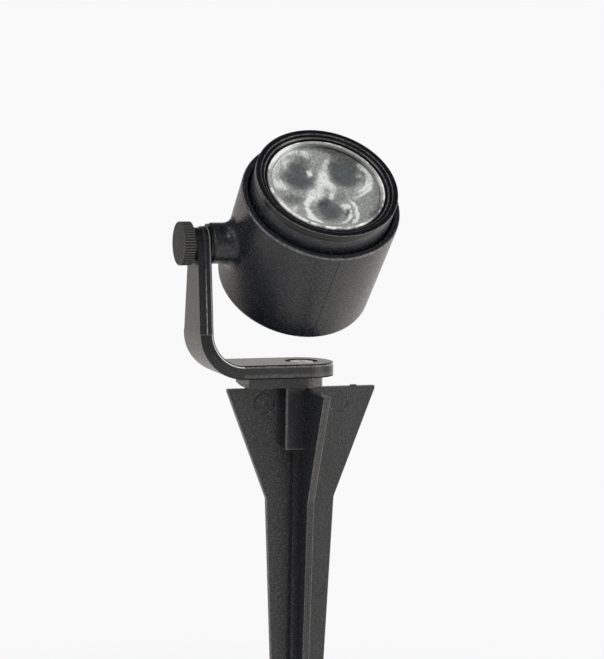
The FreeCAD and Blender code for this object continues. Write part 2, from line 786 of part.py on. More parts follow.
def armOutline(sketch, inset, low, blended):
    """Everything outside the arm above a level, as one arch-shaped opening.

    Seen along the tilt axis the arm is a round eye on two flanks that lean apart
    towards the foot and, where "blended", run into its sides by a wide arc.  "inset"
    draws the same outline further in.
    """
    lean = math.radians(value("lean"))
    eye = "(eyeRadius - %s)" % inset
    flank = "((%s + (pivotLevel - %s) * sin(lean)) / cos(lean))" % (eye, low)
    if blended:
        flank = "footHalfWidth"
    outside = "(footHalfWidth + spare)"
    above = "(pivotLevel + eyeRadius + spare)"
    corners = [(flank, low), (outside, low), (outside, above),
               ("-" + outside, above), ("-" + outside, low), ("-" + flank, low)]
    border = path(sketch, corners)
    hold(sketch, "DistanceX", (border[-1], 2), corners[-1][0])
    hold(sketch, "DistanceY", (border[-1], 2), corners[-1][1])

    crown = arc(sketch, "0", "pivotLevel", eye, lean, math.pi - lean)
    hold(sketch, "Radius", (crown,), eye)
    for sign, side, tip, end in (("", 1, 1, (border[0], 1)), ("-", -1, 2, (border[-1], 2))):
        touch = Vector(side * value(eye) * math.cos(lean),
                       value("pivotLevel") + value(eye) * math.sin(lean), 0)
        start = Vector(side * value(flank), value(low), 0)
        if blended:
            sweep = (0, lean) if side > 0 else (math.pi - lean, math.pi)
            blend = arc(sketch, sign + "(footHalfWidth - sideBlend)", low, "sideBlend", *sweep)
            start += value("sideBlend") * Vector(side * (math.cos(lean) - 1), math.sin(lean), 0)
        line = sketch.addGeometry(Part.LineSegment(start, touch))
        if blended:
            sketch.addConstraint(Sketcher.Constraint("Coincident", *end, blend, tip))
            sketch.addConstraint(Sketcher.Constraint("Tangent", line, 1, blend, 3 - tip))
        else:
            sketch.addConstraint(Sketcher.Constraint("Coincident", *end, line, 1))
        sketch.addConstraint(Sketcher.Constraint("Tangent", line, 2, crown, tip))


def makeBracket():
    """One plate bent into an upright arm with an eye and a round-ended foot."""
    body = newBody("bracket")
    side = newSketch(body, "XZ_Plane")
    outline(side, [
        ("footHalfWidth", "blockHeight"), ("footHalfWidth", "footTop"), ("-armInner", "footTop"),
        ("-armInner", "pivotLevel + eyeRadius"), ("-armOuter", "pivotLevel + eyeRadius"),
        ("-armOuter", "blockHeight"),
    ])
    pad(body, side, "2 * footHalfWidth", SideType="Symmetric")
    for across, level, radius in (("armInner", "footTop", "bendRadius"),
                                  ("armOuter", "blockHeight", "bendRadius + plate")):
        place = Vector(-value(across), 0, value(level))
        bend = edgesWhere(body, lambda edge: (edge.CenterOfMass - place).Length < 1e-3)
        soften(body, "Fillet", bend, radius)

    trim = newSketch(body, "YZ_Plane")
    armOutline(trim, "0", "footTop", True)
    pocket(body, trim, SideType="Symmetric")

    end = newSketch(body, "XY_Plane")
    reach = "footHalfWidth + spare"
    border = path(end, [("0", "footHalfWidth"), ("0", reach), (reach, reach), (reach, "-(%s)" % reach),
                        ("0", "-(%s)" % reach), ("0", "-footHalfWidth")])
    hold(end, "DistanceX", (border[-1], 2), "0")
    nose = arc(end, "0", "0", "footHalfWidth", -math.pi / 2, math.pi / 2)
    end.addConstraint(Sketcher.Constraint("Coincident", border[-1], 2, nose, 1))
    end.addConstraint(Sketcher.Constraint("Coincident", border[0], 1, nose, 2))
    pocket(body, end, SideType="Symmetric")

    step = newSketch(body, "YZ_Plane", "-armOuter")
    armOutline(step, "armStep", "(footTop + bendRadius)", False)
    pocket(body, step, "plate / 2", Reversed=True)

    def roundHeadSide(edge):
        """Edges round the face turned to the head: the arm's, the bend's and the foot's."""
        middle = edge.valueAt((edge.FirstParameter + edge.LastParameter) / 2)
        bendX, bendZ = value("bendRadius - armInner"), value("footTop + bendRadius")
        if middle.z > bendZ:
            off = middle.x + value("armInner")
        elif middle.x > bendX:
            off = middle.z - value("footTop")
        else:
            off = math.hypot(middle.x - bendX, middle.z - bendZ) - value("bendRadius")
        straightAcross = abs(edge.tangentAt(edge.FirstParameter).y) > 0.99 \
            and isinstance(edge.Curve, Part.Line)
        return abs(off) < 1e-3 and not straightAcross
    soften(body, "Fillet", edgesWhere(body, roundHeadSide), "armEdge")

    eye = newSketch(body, "YZ_Plane")
    circle(eye, "studRadius + runningFit", "0", "pivotLevel")
    pocket(body, eye, SideType="Symmetric")
    bore = newSketch(body, "XY_Plane")
    circle(bore, "screwRadius + runningFit")
    pocket(body, bore, SideType="Symmetric")
    counterbore = newSketch(body, "XY_Plane", "footTop")
    circle(counterbore, "counterboreRadius")
    pocket(body, counterbore, "counterboreDepth")


def makeFootScrew():
    """Pan-head screw that holds the foot on the spike and lets it turn."""
    body = newBody("foot_screw")
    seat = "footTop - counterboreDepth + sideGap"
    turn(body, [
        ("0", "-screwReach"), ("screwRadius / 2", "-screwReach"),
        ("screwRadius", "-screwReach + screwPoint"), ("screwRadius", seat), ("screwHead", seat),
        ("screwHead", seat + " + screwHeadHeight - screwCrown"),
        ("screwHead - screwCrown", seat + " + screwHeadHeight"), ("0", seat + " + screwHeadHeight"),
    ])
    for length, width in (("slotLength", "slotWidth"), ("slotWidth", "slotLength")):
        slot = newSketch(body, "XY_Plane", seat + " + screwHeadHeight")
        outline(slot, [("-%s" % length, "-%s" % width), (length, "-%s" % width),
                       (length, width), ("-%s" % length, width)])
        pocket(body, slot, "slotDepth")


def finOutline(sketch):
    """Half width of a fin down the spike: land, flare, slim shank and tip."""
    right = [("spikeHalfTop", "0"), ("spikeHalfTop", "-finLand"),
             ("spikeHalfWaist", "-flareDepth"), ("spikeHalfShank", "-shankDepth"),
             ("spikeHalfTip", "-spikeDepth")]
    left = [("-" + across, up) for across, up in reversed(right)]
    outline(sketch, right + left)


def square(sketch, half):
    outline(sketch, [("-" + half, "-" + half), (half, "-" + half), (half, half), ("-" + half, half)])


def makeSpike():
    """Moulded cross-section spike with a square core, screw boss and mounting block."""
    body = newBody("spike")
    for role in ("XZ_Plane", "YZ_Plane"):
        fin = newSketch(body, role)
        finOutline(fin)
        pad(body, fin, "fin", SideType="Symmetric")

    def onFinRim(edge):
        """Edges down both sides of the fins' free ends, above the point."""
        ends = [end.Point for end in edge.Vertexes]
        upright = abs(ends[0].z - ends[-1].z) > 1e-3
        return upright and all(max(abs(end.x), abs(end.y)) > value("coreHalf") for end in ends)
    soften(body, "Fillet", edgesWhere(body, onFinRim), "finRound")

    core = newSketch(body, "XY_Plane", "-shankDepth")
    square(core, "coreHalf")
    pad(body, core, "shankDepth + blockFoot")
    tip = newSketch(body, "XY_Plane", "-spikeDepth")
    square(tip, "coreTip")
    point = body.newObject("PartDesign::AdditiveLoft", "spike_point")
    point.Profile = core
    point.Sections = [tip]
    doc.recompute()
    body.Tip = point

    for side in ("-", ""):
        other = "" if side else "-"
        boss = newSketch(body, "XY_Plane", "-spikeBossDepth")
        near = side + "fin / 4"
        wide = side + "bossHalfWide"
        deep = side + "bossHalfDeep"
        outline(boss, [(near, near), (wide, near), (wide, deep), (near, deep)])
        pad(body, boss, "spikeBossDepth + blockFoot")

    def bossEdges(outer):
        """Edges of the boss blocks' lower faces: the outer ones with the upright edge
        between them, or the inner ones against the core."""
        def test(edge):
            middle = edge.CenterOfMass
            wide = abs(middle.x) > value("bossHalfWide") - 1e-3
            deep = abs(middle.y) > value("bossHalfDeep") - 1e-3
            low = [abs(end.Point.z - value("-spikeBossDepth")) < 1e-3 for end in edge.Vertexes]
            if outer:
                return any(low) and (wide or deep) and (all(low) or (wide and deep))
            side = max(abs(middle.x), abs(middle.y))
            return all(low) and abs(side - value("coreHalf")) < 1e-3
        return test
    soften(body, "Fillet", edgesWhere(body, bossEdges(True)), "spikeBossRound")
    soften(body, "Fillet", edgesWhere(body, bossEdges(False)), "spikeBossRoot")

    slab = newSketch(body, "XY_Plane", "blockFoot")
    outline(slab, [("-blockTail", "-blockHalfWidth"), ("0", "-blockHalfWidth"),
                   ("0", "blockHalfWidth"), ("-blockTail", "blockHalfWidth")])
    pad(body, slab, "blockHeight - blockFoot")
    nose = newSketch(body, "XY_Plane", "blockFoot")
    circle(nose, "blockHalfWidth")
    pad(body, nose, "blockHeight - blockFoot")
    bevel = newSketch(body, "YZ_Plane", "-blockTail")
    outline(bevel, [("blockHalfWidth", "blockFoot"), ("blockHalfWidth", "blockFoot + bevelHeight"),
                    ("blockHalfWidth - bevelWidth", "blockFoot")])
    pocket(body, bevel, "blockTail - bossHalfWide", Reversed=True)

    gates = newSketch(body, "XZ_Plane")
    for side in ("-", ""):
        inner = side + "(gateSpread - gateWidth / 2)"
        outer = side + "(gateSpread + gateWidth / 2)"
        outline(gates, [(inner, "-gateRoot"), (outer, "-gateRoot"),
                        (outer, "gateHeight"), (inner, "gateHeight")])
    pad(body, gates, "gateThickness", SideType="Symmetric")

    marks = newSketch(body, "XZ_Plane", "fin / 2")
    for side in ("-", ""):
        circle(marks, "upperMarkRadius", side + "upperMarkSpread", "-upperMarkDepth")
        circle(marks, "lowerMarkRadius", side + "lowerMarkSpread", "-lowerMarkDepth")
    pocket(body, marks, "markDepth")

    pilot = newSketch(body, "XY_Plane", "blockHeight")
    circle(pilot, "screwRadius + slipFit")
    pocket(body, pilot, "blockHeight + screwReach + screwEnd")


makeHousing()
makeBarrel()
makeBezel()
makeRings()
makeSealRing()
makeOptic()
makeLampBoard()
makeDriver()
makeGland()
makeThumbscrew()
makeBracket()
makeFootScrew()
makeSpike()

doc.recompute()
failed = [item.Name for item in doc.Objects if {"Invalid", "Error"} & set(item.State)]
if failed:
    raise RuntimeError("failed objects: " + ", ".join(failed))
for piece in pieces:
    if piece.Shape.isNull() or not piece.Shape.isValid():
        raise RuntimeError(piece.Label + ": the shape is not sound")

for piece in pieces:
    piece.Shape.exportStep("parts/%s.step" % piece.Label)
    print("%-18s %2d solid(s) %10.2f mm3"
          % (piece.Label, len(piece.Shape.Solids), piece.Shape.Volume))
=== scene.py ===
import math

import bmesh
import bpy
from mathutils import Euler, Matrix, Vector


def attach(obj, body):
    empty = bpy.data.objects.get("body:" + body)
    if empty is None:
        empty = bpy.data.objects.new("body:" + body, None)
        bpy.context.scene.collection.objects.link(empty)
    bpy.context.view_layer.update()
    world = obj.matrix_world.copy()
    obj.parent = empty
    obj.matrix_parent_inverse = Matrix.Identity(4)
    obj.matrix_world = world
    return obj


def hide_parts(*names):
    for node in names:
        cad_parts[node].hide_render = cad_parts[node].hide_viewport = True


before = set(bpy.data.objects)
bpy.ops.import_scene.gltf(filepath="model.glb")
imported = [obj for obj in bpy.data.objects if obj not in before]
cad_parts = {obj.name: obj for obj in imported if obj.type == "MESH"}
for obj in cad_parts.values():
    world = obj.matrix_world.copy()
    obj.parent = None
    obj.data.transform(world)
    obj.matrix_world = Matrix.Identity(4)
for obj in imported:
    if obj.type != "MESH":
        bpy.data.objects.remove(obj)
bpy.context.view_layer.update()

mm = 0.001

# the head's pieces are drawn with +Z out of the lens and the tilt axis at the origin,
# those of the thumbscrew with +Z out of its knob
headSeat = {"side": 0.8 * mm, "height": 40.65 * mm, "aim": 46.5}
headTurn = math.radians(90 - headSeat["aim"])
headPlace = (Matrix.Translation((headSeat["side"], 0, headSeat["height"]))
             @ Matrix.Rotation(headTurn, 4, "X"))
knobPlace = (Matrix.Translation((0, 0, headSeat["height"]))
             @ Matrix.Rotation(math.radians(-90), 4, "Y"))


# camera

cameraView = {
    "place": (-0.22937, -0.65662, 0.08948),
    "dip": 5.841,              # degrees below the horizon
    "turn": 18.0,              # degrees to the right of +Y
    "roll": 0.794,
    "lens": 136.57, "sensor": 36,
    "shift": (0.0826, -0.0126),
    "clip": (0.01, 50),
}
camera = bpy.data.objects.new("studioCamera", bpy.data.cameras.new("studioCamera"))
bpy.context.scene.collection.objects.link(camera)
camera.data.lens = cameraView["lens"]
camera.data.sensor_width = cameraView["sensor"]
camera.data.shift_x, camera.data.shift_y = cameraView["shift"]
camera.data.clip_start, camera.data.clip_end = cameraView["clip"]
camera.location = cameraView["place"]
aim = Euler((math.radians(90 - cameraView["dip"]), 0, math.radians(-cameraView["turn"])))
roll = Matrix.Rotation(math.radians(cameraView["roll"]), 3, "Z")
camera.rotation_euler = (aim.to_matrix() @ roll).to_euler()
bpy.context.scene.camera = camera
bpy.context.scene.view_settings.view_transform = "Standard"
print("camera set")


# node trees

class Wire:                    # a node's output, so that sums on it read as plain Python
    def __init__(self, board, socket):
        self.board = board
        self.socket = socket

    def reckon(self, operation, first, second):
        return self.board.add("ShaderNodeMath", {"operation": operation}, {0: first, 1: second})

    def __add__(self, other):
        return self.reckon("ADD", self, other)

    def __sub__(self, other):
        return self.reckon("SUBTRACT", self, other)

    def __rsub__(self, other):
        return self.reckon("SUBTRACT", other, self)

    def __mul__(self, other):
        return self.reckon("MULTIPLY", self, other)

    def __truediv__(self, other):
        return self.reckon("DIVIDE", self, other)

    __radd__ = __add__
    __rmul__ = __mul__

    def least(self, other):
        return self.reckon("MINIMUM", self, other)

    def most(self, other):
        return self.reckon("MAXIMUM", self, other)

    def between(self, low, high):
        return self.most(low).least(high)

    def size(self):
        return self.reckon("ABSOLUTE", self, 0.0)

    def power(self, exponent):
        return self.reckon("POWER", self, exponent)

    def above(self, level):
        return self.reckon("GREATER_THAN", self, level)

    def below(self, level):
        return self.reckon("LESS_THAN", self, level)

    def near(self, level, reach):    # 1 at a level, down to 0 at a reach from it
        return (1 - (self - level).size() / reach).most(0.0)


class Board:                   # a node tree, and the one way in which nodes are put on it
    def __init__(self, tree):
        self.tree = tree
        tree.nodes.clear()

    def add(self, kind, settings=None, inputs=None, output=0):
        node = self.tree.nodes.new(kind)
        for name, setting in (settings or {}).items():
            if name == "stops":
                self.setStops(node.color_ramp, setting)
            else:
                setattr(node, name, setting)
        for key, given in (inputs or {}).items():
            self.plug(node.inputs[key], given)
        return Wire(self, node.outputs[output]) if node.outputs else node

    def plug(self, socket, given):
        wires = given if isinstance(given, list) else [given]
        for wire in wires:
            if isinstance(wire, Wire):
                self.tree.links.new(wire.socket, socket)
            else:
                socket.default_value = wire

    def setStops(self, ramp, stops):
        while len(ramp.elements) < len(stops):
            ramp.elements.new(0.5)
        for element, (place, level) in zip(ramp.elements, stops):
            element.position = place
            element.color = (level, level, level, 1)

    def coordinates(self, kind):
        return self.add("ShaderNodeTexCoord", {}, {}, kind)

    def noise(self, spot, size, detail=2.0, rough=0.5, output=0):
        return self.add("ShaderNodeTexNoise", {}, {
            "Vector": spot, "Scale": 1 / size, "Detail": detail, "Roughness": rough}, output)

    def ramp(self, value, stops):
        return self.add("ShaderNodeValToRGB", {"stops": stops}, {0: value})

    def fade(self, value, stops):
        # a ramp whose stops are given in the value's own units
        first, last = stops[0][0], stops[-1][0]
        shares = [((place - first) / (last - first), level) for place, level in stops]
        return self.ramp((value - first) / (last - first), shares)

    def blend(self, amount, first, second):
        return self.add("ShaderNodeMix", {"data_type": "RGBA"},
                        {0: amount, 6: first, 7: second}, 2)

    def vector(self, operation, first, second=(0, 0, 0), output=0):
        return self.add("ShaderNodeVectorMath", {"operation": operation},
                        {0: first, 1: second}, output)

    def flat(self, spot):
        return self.vector("MULTIPLY", spot, (1, 1, 0))

    def length(self, spot):
        return self.vector("LENGTH", spot, output="Value")

    def distance(self, spot, other):
        return self.vector("DISTANCE", spot, other, "Value")

    def axis(self, spot, number):
        return self.add("ShaderNodeSeparateXYZ", {}, {0: spot}, number)

    def pair(self, across, up):
        return self.add("ShaderNodeCombineXYZ", {}, {0: across, 1: up})

    def seenFrom(self, spot, place, turn, scale=(1, 1, 1)):
        # where a spot lies in a frame of its own place, turn and scale
        return self.add("ShaderNodeMapping", {"vector_type": "TEXTURE"}, {
            "Vector": spot, "Location": place, "Rotation": turn, "Scale": scale})

    def bump(self, height, strength, distance):
        return self.add("ShaderNodeBump", {}, {
            "Strength": strength, "Distance": distance, "Height": height})

    def mixShader(self, amount, first, second):
        return self.add("ShaderNodeMixShader", {}, {0: amount, 1: first, 2: second})


def newMaterial(name):
    material = bpy.data.materials.new(name)
    material.use_nodes = True
    return material, Board(material.node_tree)


def close(board, shader):
    board.add("ShaderNodeOutputMaterial", {}, {"Surface": shader})


def shade(level, tint=(1, 1, 1)):
    return (level * tint[0], level * tint[1], level * tint[2], 1)


def headSpot(board, spot):
    # Object coordinates seen from the head: +Z out of the lens, in mm
    local = board.seenFrom(spot, headPlace.translation, (headTurn, 0, 0))
    return board.vector("MULTIPLY", local, (1 / mm, 1 / mm, 1 / mm))


# where the black finish is paler, from 0 to 1: some edge wear, mostly painted highlights along
# rounded edges; all three are called in the same way

def edgeWearAndHighlight(board, spot, facing, look):
    # the head's turned edges: painted highlight lines, with some wear
    local = headSpot(board, spot)
    profile = board.pair(board.length(board.flat(local)), board.axis(local, 2))
    wearAndHighlight = 0.0
    for radius, level, width in look["edges"]:
        wearAndHighlight = board.distance(profile, (radius, level, 0)).near(0.0, width).most(wearAndHighlight)
    return wearAndHighlight


def plateHighlightsAndWear(board, spot, facing, look):
    # painted highlights, with some wear, on the bent plate's rounded edges, the arm's ridge and the
    # foot's side
    plate = look["plate"]
    side, front, top = [board.axis(facing, number) for number in range(3)]
    across, up = board.axis(spot, 0), board.axis(spot, 2)
    foot = across.above(plate["bend"][0])
    arm = up.above(plate["bend"][1])
    slant = side * arm + front * (1 - foot - arm)
    edge = board.ramp(slant, plate["rounds"]) * plate["roundShare"]
    ridgeHighlight = across.near(*plate["ridgeHighlight"]) * arm * board.fade(up, plate["ridgeFade"])
    rimHighlight = up.near(*plate["rimHighlight"]) * board.ramp(top, plate["rimLean"])
    rimHighlight = rimHighlight * board.fade(across, plate["rimCorner"])
    low = up.near(*plate["low"]) * plate["lowShare"]
    return edge.most(ridgeHighlight).most(rimHighlight.most(low) * foot)


def finWearAndHighlight(board, spot, facing, look):
    # painted highlights, with some wear, on the rounded edges of the fins, away from the round core
    side, front, top = [board.axis(facing, number) for number in range(3)]
    slant = 1 - side.most(front).most(top)
    reach = board.length(board.flat(spot))
    return board.ramp(slant, look["finRounds"]) * reach.above(look["core"])


# marks of a single piece, painted highlights and shade among them

def foldHighlightAndShade(board, spot, plate):
    # along the plate's inner edge: a painted highlight line up the arm and round the bend, and a
    # painted dark rim of shade that the foot has as well
    across, up = board.axis(spot, 0), board.axis(spot, 2)
    side, height = plate["bend"]
    inward = board.pair((across - side).least(0.0), (up - height).least(0.0))
    depth = board.length(inward) - plate["bendRadius"]
    line = depth.near(*plate["foldHighlight"]) * board.fade(up, plate["foldFade"])
    line = line * (1 - up.above(height) * plate["armFade"] - across.above(side))
    return line, board.fade(depth, plate["foldShadeRim"]) * plate["foldShadeShare"]


def ribShadeAndHighlight(board, spot, ribs):
    # painted shade in the grooves between the knob's ribs, and painted highlights on the ribs'
    # crowns and the rim of its face
    away = board.vector("SUBTRACT", spot, (0, 0, headSeat["height"]))
    reach = board.length(board.vector("MULTIPLY", away, (0, 1, 1)))
    side = board.axis(spot, 0).above(-ribs["front"])
    raised = (reach - ribs["inner"]) / (ribs["outer"] - ribs["inner"])
    groove = board.ramp(raised, ribs["groove"]) * side * reach.above(ribs["inner"] - ribs["under"])
    crown = board.ramp(raised, ribs["crown"]) * side
    return groove, crown.most(reach.near(*ribs["rimHighlight"]) * (1 - side))


def ejectorRing(board, spot, ring):
    # the round witness lines on the front faces of the fins
    flat = board.pair(board.axis(spot, 0).size(), board.axis(spot, 2))
    away = board.distance(flat, (ring["across"], ring["level"], 0))
    return away.near(ring["radius"], ring["width"]) * board.axis(spot, 1).below(0.0)


def grainedCoat(name, look):
    # a black finish with a fine grain, a little cloudier and paler over wide areas
    material, board = newMaterial(name)
    spot = board.coordinates("Object")
    facing = board.vector("ABSOLUTE", board.coordinates("Normal"))
    grain = board.noise(spot, look["grain"], 1.5)
    fine = board.noise(spot, look["grain"] * look["fine"], 1.0)
    cloud = board.noise(board.vector("MULTIPLY", spot, look["drawn"]), look["cloud"], 3.0)
    speck = board.ramp(grain, look["speckle"])
    tone = board.blend(cloud * look["cloudTone"] + speck * look["speck"],
                       shade(look["dark"], look["tint"]), shade(look["pale"], look["tint"]))
    rough = look["rough"] + (cloud - 0.5) * look["cloudRough"] - (grain - 0.5) * look["glint"]
    height = grain * look["coarse"] + fine * (1 - look["coarse"])
    if look["wearAndHighlight"]:           # paler and shinier, unevenly: painted highlights with some edge wear
        patchyWearAndGlint = look["patchyWearAndGlint"]
        patchy = board.ramp(board.noise(spot, patchyWearAndGlint["size"], 1.5), patchyWearAndGlint["stops"])
        wearAndHighlight = look["wearAndHighlight"](board, spot, facing, look) * (patchyWearAndGlint["least"] + patchy * patchyWearAndGlint["more"])
        tone = board.blend(wearAndHighlight.least(1.0), tone, shade(look["wearHighlightTone"]))
        rough = rough - wearAndHighlight * patchyWearAndGlint["shine"]
    if "plate" in look:        # a painted highlight along the fold, and a raised line where the plate was held, with a painted highlight on it
        plate = look["plate"]
        foldHighlight, foldShadeRim = foldHighlightAndShade(board, spot, plate)
        tone = board.blend(foldHighlight, tone, shade(plate["foldHighlightTone"]))
        up, held = board.axis(spot, 2), plate["bend"][1]
        height = height + up.near(held, plate["heldWidth"]) * plate["heldRise"]
        # the held line is made paler: a painted highlight on its ridge
        pale = up.near(held, plate["heldHighlightWidth"]) * plate["heldHighlightShare"]
        tone = board.blend(pale, tone, shade(plate["heldHighlightTone"]))
    if "ribs" in look:
        # painted shade in the rib grooves, painted highlights on the crowns and the face's rim
        groove, crown = ribShadeAndHighlight(board, spot, look["ribs"])
        tone = board.blend(groove * look["ribs"]["grooveShare"], tone, shade(0.0))
        tone = board.blend(crown * look["ribs"]["crownShare"], tone, shade(look["wearHighlightTone"]))
    if "ring" in look:
        ring = ejectorRing(board, spot, look["ring"])
        tone = board.blend(ring * look["ring"]["share"], tone, shade(0.0))
        height = height - ring * look["ring"]["depth"]
    shader = board.add("ShaderNodeBsdfPrincipled", {}, {
        "Base Color": tone, "Roughness": rough, "Specular IOR Level": look["gloss"],
        "Normal": board.bump(height, look["depth"], look["grain"] * 0.5)})
    if "contactShade" in look:         # painted shade: a dark line where the piece meets its neighbour, on steep faces
        contactShade = look["contactShade"]
        line = (board.axis(spot, 2).near(contactShade["level"], contactShade["reach"]) * contactShade["sharp"]).least(1.0)
        line = line * board.ramp(board.axis(facing, 2), contactShade["steep"])
        # the plate's painted dark rim along its fold joins this painted shade
        if "plate" in look:
            line = line.most(foldShadeRim)
        shadeDiffuse = board.add("ShaderNodeBsdfDiffuse", {}, {"Color": shade(contactShade["tone"])})
        shader = board.mixShader(line, shader, shadeDiffuse)
    close(board, shader)
    return material


coolBlack = (0.85, 0.92, 1.2)
castLook = {
    "grain": 0.5 * mm, "fine": 0.6, "coarse": 0.65, "speckle": ((0.48, 0.0), (0.66, 1.0)),
    "cloud": 11 * mm, "drawn": (1, 1, 1), "cloudTone": 0.25, "cloudRough": 0.06,
    "dark": 0.002, "pale": 0.045, "tint": coolBlack, "speck": 0.75, "rough": 0.3, "glint": 0.5,
    "gloss": 0.6, "depth": 0.4, "wearAndHighlight": edgeWearAndHighlight, "wearHighlightTone": 0.25,
    "patchyWearAndGlint": {"size": 0.75 * mm, "stops": ((0.38, 0.0), (0.62, 1.0)), "least": 0.4, "more": 0.65,
            "shine": 0.16},
    # turned edges that get painted highlight lines and some wear, seen from the head: radius, level
    # and width in mm
    "edges": ((20.0, 24.25, 0.3), (18.4, 24.25, 0.26), (17.4, 23.6, 0.3),
              (22.4, 17.5, 0.4), (20.65, 17.8, 0.25)),
}
# painted shade where the foot sits on the block
contactShadeLook = {"level": 3.6 * mm, "sharp": 2.0, "steep": ((0.4, 1.0), (0.7, 0.0)), "tone": 0.004}
bentPlate = {
    "bend": (-19.5 * mm, 16.15 * mm), "bendRadius": 8.7 * mm,
    # rounded edges, which face between the ways of the wide faces and of the sides: painted
    # highlights and wear
    "rounds": ((0.16, 0.0), (0.3, 1.0), (0.94, 1.0), (0.985, 0.0)), "roundShare": 0.35,
    # the painted highlight on the arm's ridge: place and reach, and where up the arm it fades
    "ridgeHighlight": (-30.05 * mm, 0.16 * mm), "ridgeFade": ((27 * mm, 1.0), (35 * mm, 0.25)),
    # painted highlights: the foot's upper edge, brightest at its round end, and a fainter band low
    # on its side
    "rimHighlight": (6.95 * mm, 0.42 * mm), "rimLean": ((0.45, 1.0), (0.75, 0.0)),
    "rimCorner": ((3.5 * mm, 0.4), (6 * mm, 1.0)),
    "low": (4.4 * mm, 0.8 * mm), "lowShare": 0.16,
    # the painted highlight line and the painted dark rim of shade along the fold, by depth from the
    # inner edge
    "foldHighlight": (0.5 * mm, 0.2 * mm), "foldFade": ((10 * mm, 1.0), (16 * mm, 0.55)),
    "foldHighlightTone": 0.8, "armFade": 0.5, "foldShadeShare": 0.75,
    "foldShadeRim": ((0.02 * mm, 0.0), (0.08 * mm, 1.0), (0.22 * mm, 1.0), (0.32 * mm, 0.0)),
    # the line across the arm where the plate was held for its bend: raised, and paled with a
    # painted highlight
    "heldWidth": 0.12 * mm, "heldRise": 1.5, "heldHighlightWidth": 0.1714 * mm,
    "heldHighlightShare": 0.6, "heldHighlightTone": 0.12,
}
coats = {
    "castCoat": castLook,
    "bezelCoat": castLook | {"pale": 0.014, "rough": 0.2, "gloss": 0.45, "depth": 0.2,
                             "wearHighlightTone": 0.14},
    "armCoat": castLook | {"rough": 0.31, "pale": 0.024, "depth": 0.14, "glint": 0.3,
                           "wearAndHighlight": plateHighlightsAndWear, "wearHighlightTone": 0.4, "plate": bentPlate,
                           "contactShade": contactShadeLook | {"reach": 0.34 * mm}},
    "spikePlastic": castLook | {"grain": 0.55 * mm, "cloud": 9 * mm, "drawn": (1, 1, 0.22),
                                "speck": 0.58, "rough": 0.36, "gloss": 0.8, "wearAndHighlight": finWearAndHighlight,
                                "wearHighlightTone": 0.12, "finRounds": ((0.04, 0.0), (0.16, 1.0)),
                                "core": 5 * mm, "contactShade": contactShadeLook | {"reach": 0.4 * mm},
                                "ring": {"across": 11.0 * mm, "level": -4.15 * mm,
                                         "radius": 2.9 * mm, "width": 0.16 * mm,
                                         "share": 0.8, "depth": 1.2}},
    "nylonBlack": castLook | {"grain": 0.8 * mm, "cloud": 8 * mm, "pale": 0.02, "speck": 0.4,
                              "rough": 0.38, "glint": 0.1, "gloss": 0.5, "depth": 0.25,
                              "wearAndHighlight": None},
    "sealRubber": castLook | {"cloud": 5 * mm, "dark": 0.010, "pale": 0.018, "speck": 0.2,
                              "rough": 0.7, "glint": 0.1, "gloss": 0.3, "depth": 0.3,
                              "wearAndHighlight": None},
}
finish = {name: grainedCoat(name, look) for name, look in coats.items()}
print("coats made:", ", ".join(finish))


def platedSteel(name, look):
    # bright plating with fine turning marks
    material, board = newMaterial(name)
    spot = board.coordinates("Object")
    streak = board.noise(spot, look["mark"], 4.0, 0.7)
    stain = board.noise(spot, look["cloud"])
    shader = board.add("ShaderNodeBsdfPrincipled", {}, {
        "Base Color": board.blend(stain, shade(look["dark"], look["tint"]),
                                  shade(look["pale"], look["tint"])),
        "Metallic": look["metal"],
        "Roughness": look["rough"] + (streak - 0.5) * look["markRough"],
        "Normal": board.bump(streak, look["depth"], look["mark"] * 0.5)})
    close(board, shader)
    return material


steels = {
    "zincPlate": {"mark": 0.5 * mm, "cloud": 2.5 * mm, "dark": 0.7, "pale": 0.95,
                  "tint": (1.0, 0.99, 0.95), "rough": 0.42, "markRough": 0.25, "depth": 0.35,
                  "metal": 0.5},
    "canSleeve": {"mark": 0.6 * mm, "cloud": 3 * mm, "dark": 0.1, "pale": 0.16,
                  "tint": (0.95, 0.97, 1.0), "rough": 0.35, "markRough": 0.25, "depth": 0.35,
                  "metal": 1.0},
}
finish.update({name: platedSteel(name, look) for name, look in steels.items()})


def plainMoulded(name, level, tint, rough):
    # inside pieces: a matt or glossy moulding with a faint mottle
    material, board = newMaterial(name)
    cloud = board.noise(board.coordinates("Object"), mottled["size"], 3.0)
    shader = board.add("ShaderNodeBsdfPrincipled", {}, {
        "Base Color": board.blend(cloud, shade(level * mottled["dark"], tint),
                                  shade(level * mottled["pale"], tint)),
        "Roughness": rough + (cloud - 0.5) * mottled["rough"]})
    close(board, shader)
    return material


mottled = {"size": 2.2 * mm, "dark": 0.8, "pale": 1.15, "rough": 0.15}
mouldings = {                  # level, tint and roughness
    "padGrey": (0.4, (0.95, 0.98, 1.05), 0.7),
    "boardWhite": (0.75, (1.0, 1.0, 0.98), 0.45),
    "lampResin": (0.7, (1.1, 0.95, 0.35), 0.2),
    "boardGreen": (0.12, (0.4, 1.6, 0.75), 0.4),
    "ferriteGrey": (0.07, (1.0, 1.0, 1.03), 0.6),
    "chipBlack": (0.025, (1.0, 1.0, 1.0), 0.45),
    "leadRed": (0.35, (1.5, 0.22, 0.18), 0.35),
}
finish.update({name: plainMoulded(name, *look) for name, look in mouldings.items()})
print("finishes made:", len(finish))


# CAD nodes that keep their shape and get a finish

